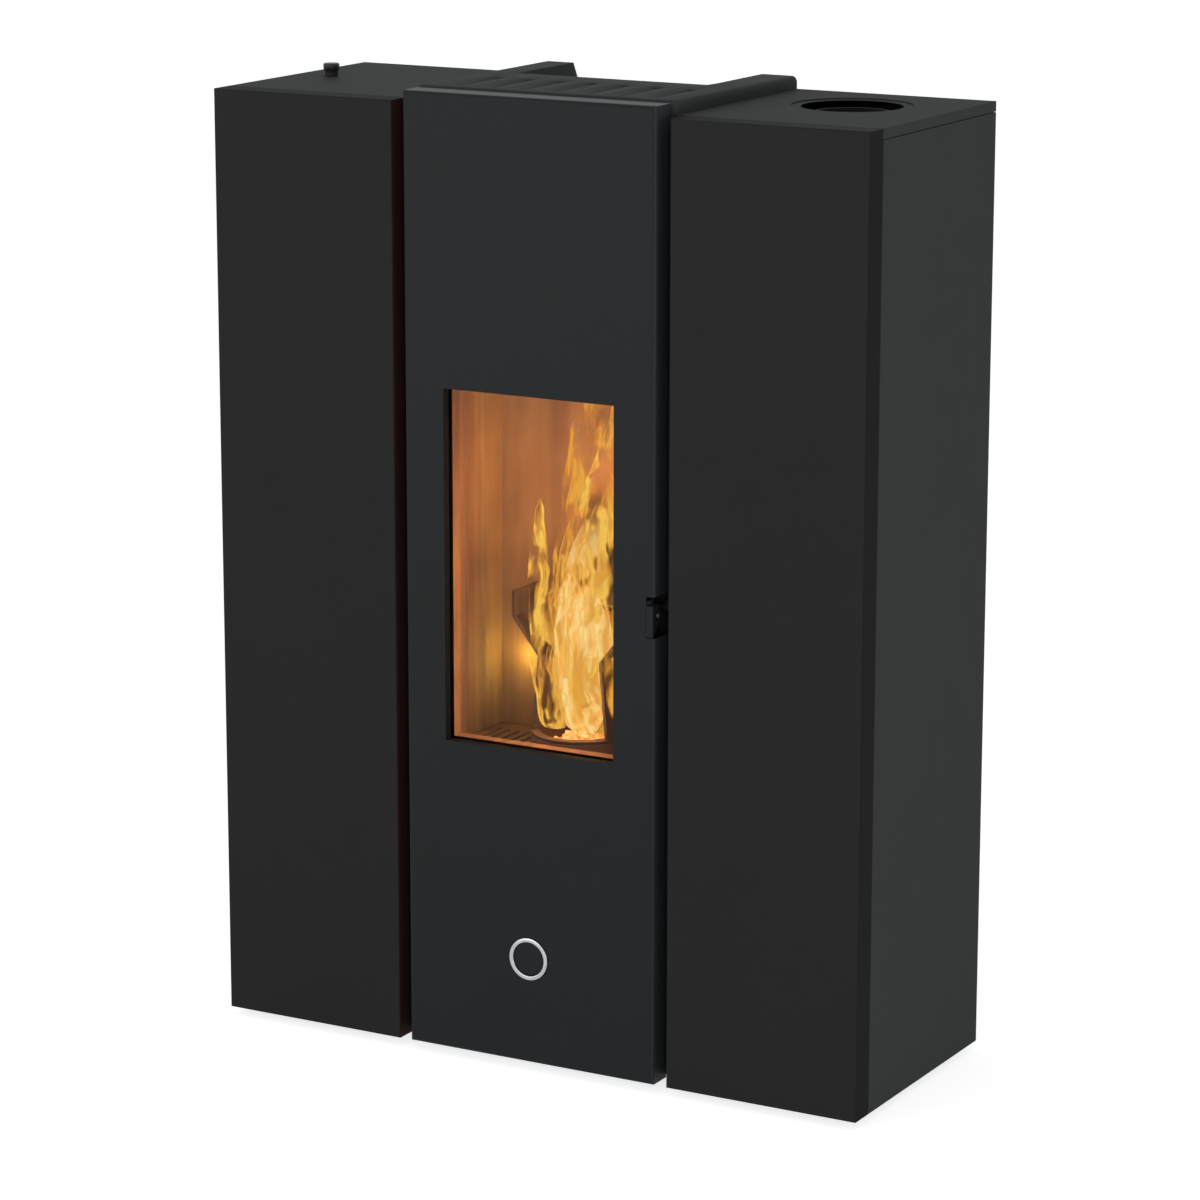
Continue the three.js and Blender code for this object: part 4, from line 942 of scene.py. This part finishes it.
def seenRays(tree):  # 1 for what the camera, a mirror or glass looks at
    rays = addNode(tree, "ShaderNodeLightPath")
    seen = reckon(tree, "MAXIMUM", rays.outputs["Is Camera Ray"], rays.outputs["Is Transmission Ray"])
    return reckon(tree, "MAXIMUM", seen, rays.outputs["Is Glossy Ray"])


def stageMaterial(name, colour, lift):
    material = bpy.data.materials.new(name)
    material.use_nodes = True
    tree = material.node_tree
    shader = tree.nodes["Principled BSDF"]
    shader.inputs["Base Color"].default_value = (*colour, 1)
    shader.inputs["Roughness"].default_value = 0.9
    shader.inputs["Specular IOR Level"].default_value = 0.1
    shader.inputs["Emission Color"].default_value = (1, 1, 1, 1)
    tree.links.new(reckon(tree, "MULTIPLY", seenRays(tree), lift), shader.inputs["Emission Strength"])
    return material


stagePlan = {"floorLift": 0.74, "worldLight": 0.30, "worldSeen": 1.0}
deselectAll()
bpy.ops.mesh.primitive_plane_add(size=60, location=(0, 0, 0))
floor = bpy.context.object
floor.name = "studioFloor"
floor.data.materials.append(stageMaterial("paleFloor", (0.9, 0.9, 0.9), stagePlan["floorLift"]))

world = bpy.data.worlds.new("studioWorld")
bpy.context.scene.world = world
world.use_nodes = True
worldTree = world.node_tree
background = worldTree.nodes["Background"]
strength = spread(worldTree, seenRays(worldTree), 0.0, 1.0, stagePlan["worldLight"], stagePlan["worldSeen"])
worldTree.links.new(strength, background.inputs["Strength"])
background.inputs["Color"].default_value = (1, 1, 1, 1)

lampPlan = {
    "overhead": {"place": (0.2, -1.6, 3.6), "aim": (0, 0, 0.6), "size": 2.6, "power": 3},
    "rightSoft": {"place": (3.4, -1.5, 0.5), "aim": (0.3, 0, 0.2), "size": 1.4, "power": 15},
    "frontLeft": {"place": (-2.0, -3.8, 1.3), "aim": (0, 0, 0.5), "size": 2.6, "power": 46},
    "fill": {"place": (2.5, -4.1, 0.8), "aim": (0.2, 0, 0.4), "size": 1.2, "power": 46},
}
for name, plan in lampPlan.items():
    lamp = bpy.data.lights.new(name, "AREA")
    lamp.shape = "SQUARE"
    lamp.size = plan["size"]
    lamp.energy = plan["power"]
    holder = bpy.data.objects.new(name, lamp)
    holder.location = plan["place"]
    aim = Vector(plan["aim"]) - Vector(plan["place"])
    holder.rotation_euler = aim.to_track_quat("-Z", "Y").to_euler()
    holder.visible_camera = False
    bpy.context.scene.collection.objects.link(holder)

fireLamps = {
    "fireLow": {"place": (14, 88, 450), "radius": 0.035, "power": 2.2, "colour": (1.0, 0.52, 0.18)},
    "fireHigh": {"place": (24, 100, 620), "radius": 0.035, "power": 2.0, "colour": (1.0, 0.48, 0.15)},
    "fireBehind": {"place": (-104, 172, 430), "radius": 0.008, "power": 0.10, "colour": (1.0, 0.72, 0.14)},
}
for name, plan in fireLamps.items():
    lamp = bpy.data.lights.new(name, "POINT")
    lamp.shadow_soft_size = plan["radius"]
    lamp.energy = plan["power"]
    lamp.color = plan["colour"]
    holder = bpy.data.objects.new(name, lamp)
    holder.location = at(*plan["place"])
    holder.visible_camera = holder.visible_transmission = holder.visible_glossy = False
    bpy.context.scene.collection.objects.link(holder)

cameraPlan = {  # fitted to the photograph; the focal length and the shift are in pixels of its frame
    "place": (2.3895, -4.2800, 1.6680), "yaw": 0.5136, "pitch": 0.2290,
    "focal": 4348.7, "shift": 20.27, "frame": 1200, "sensor": 36, "clip": 100,
}
cameraData = bpy.data.cameras.new("photoCamera")
cameraData.sensor_width = cameraPlan["sensor"]
cameraData.lens = cameraPlan["focal"] / cameraPlan["frame"] * cameraPlan["sensor"]
cameraData.shift_x = cameraPlan["shift"] / cameraPlan["frame"]
cameraData.clip_end = cameraPlan["clip"]
camera = bpy.data.objects.new("photoCamera", cameraData)
camera.location = cameraPlan["place"]
camera.rotation_euler = (math.radians(90) - cameraPlan["pitch"], 0, cameraPlan["yaw"])
bpy.context.scene.collection.objects.link(camera)
bpy.context.scene.camera = camera
bpy.context.scene.view_settings.view_transform = "Standard"
print("stage done")

deselectAll()
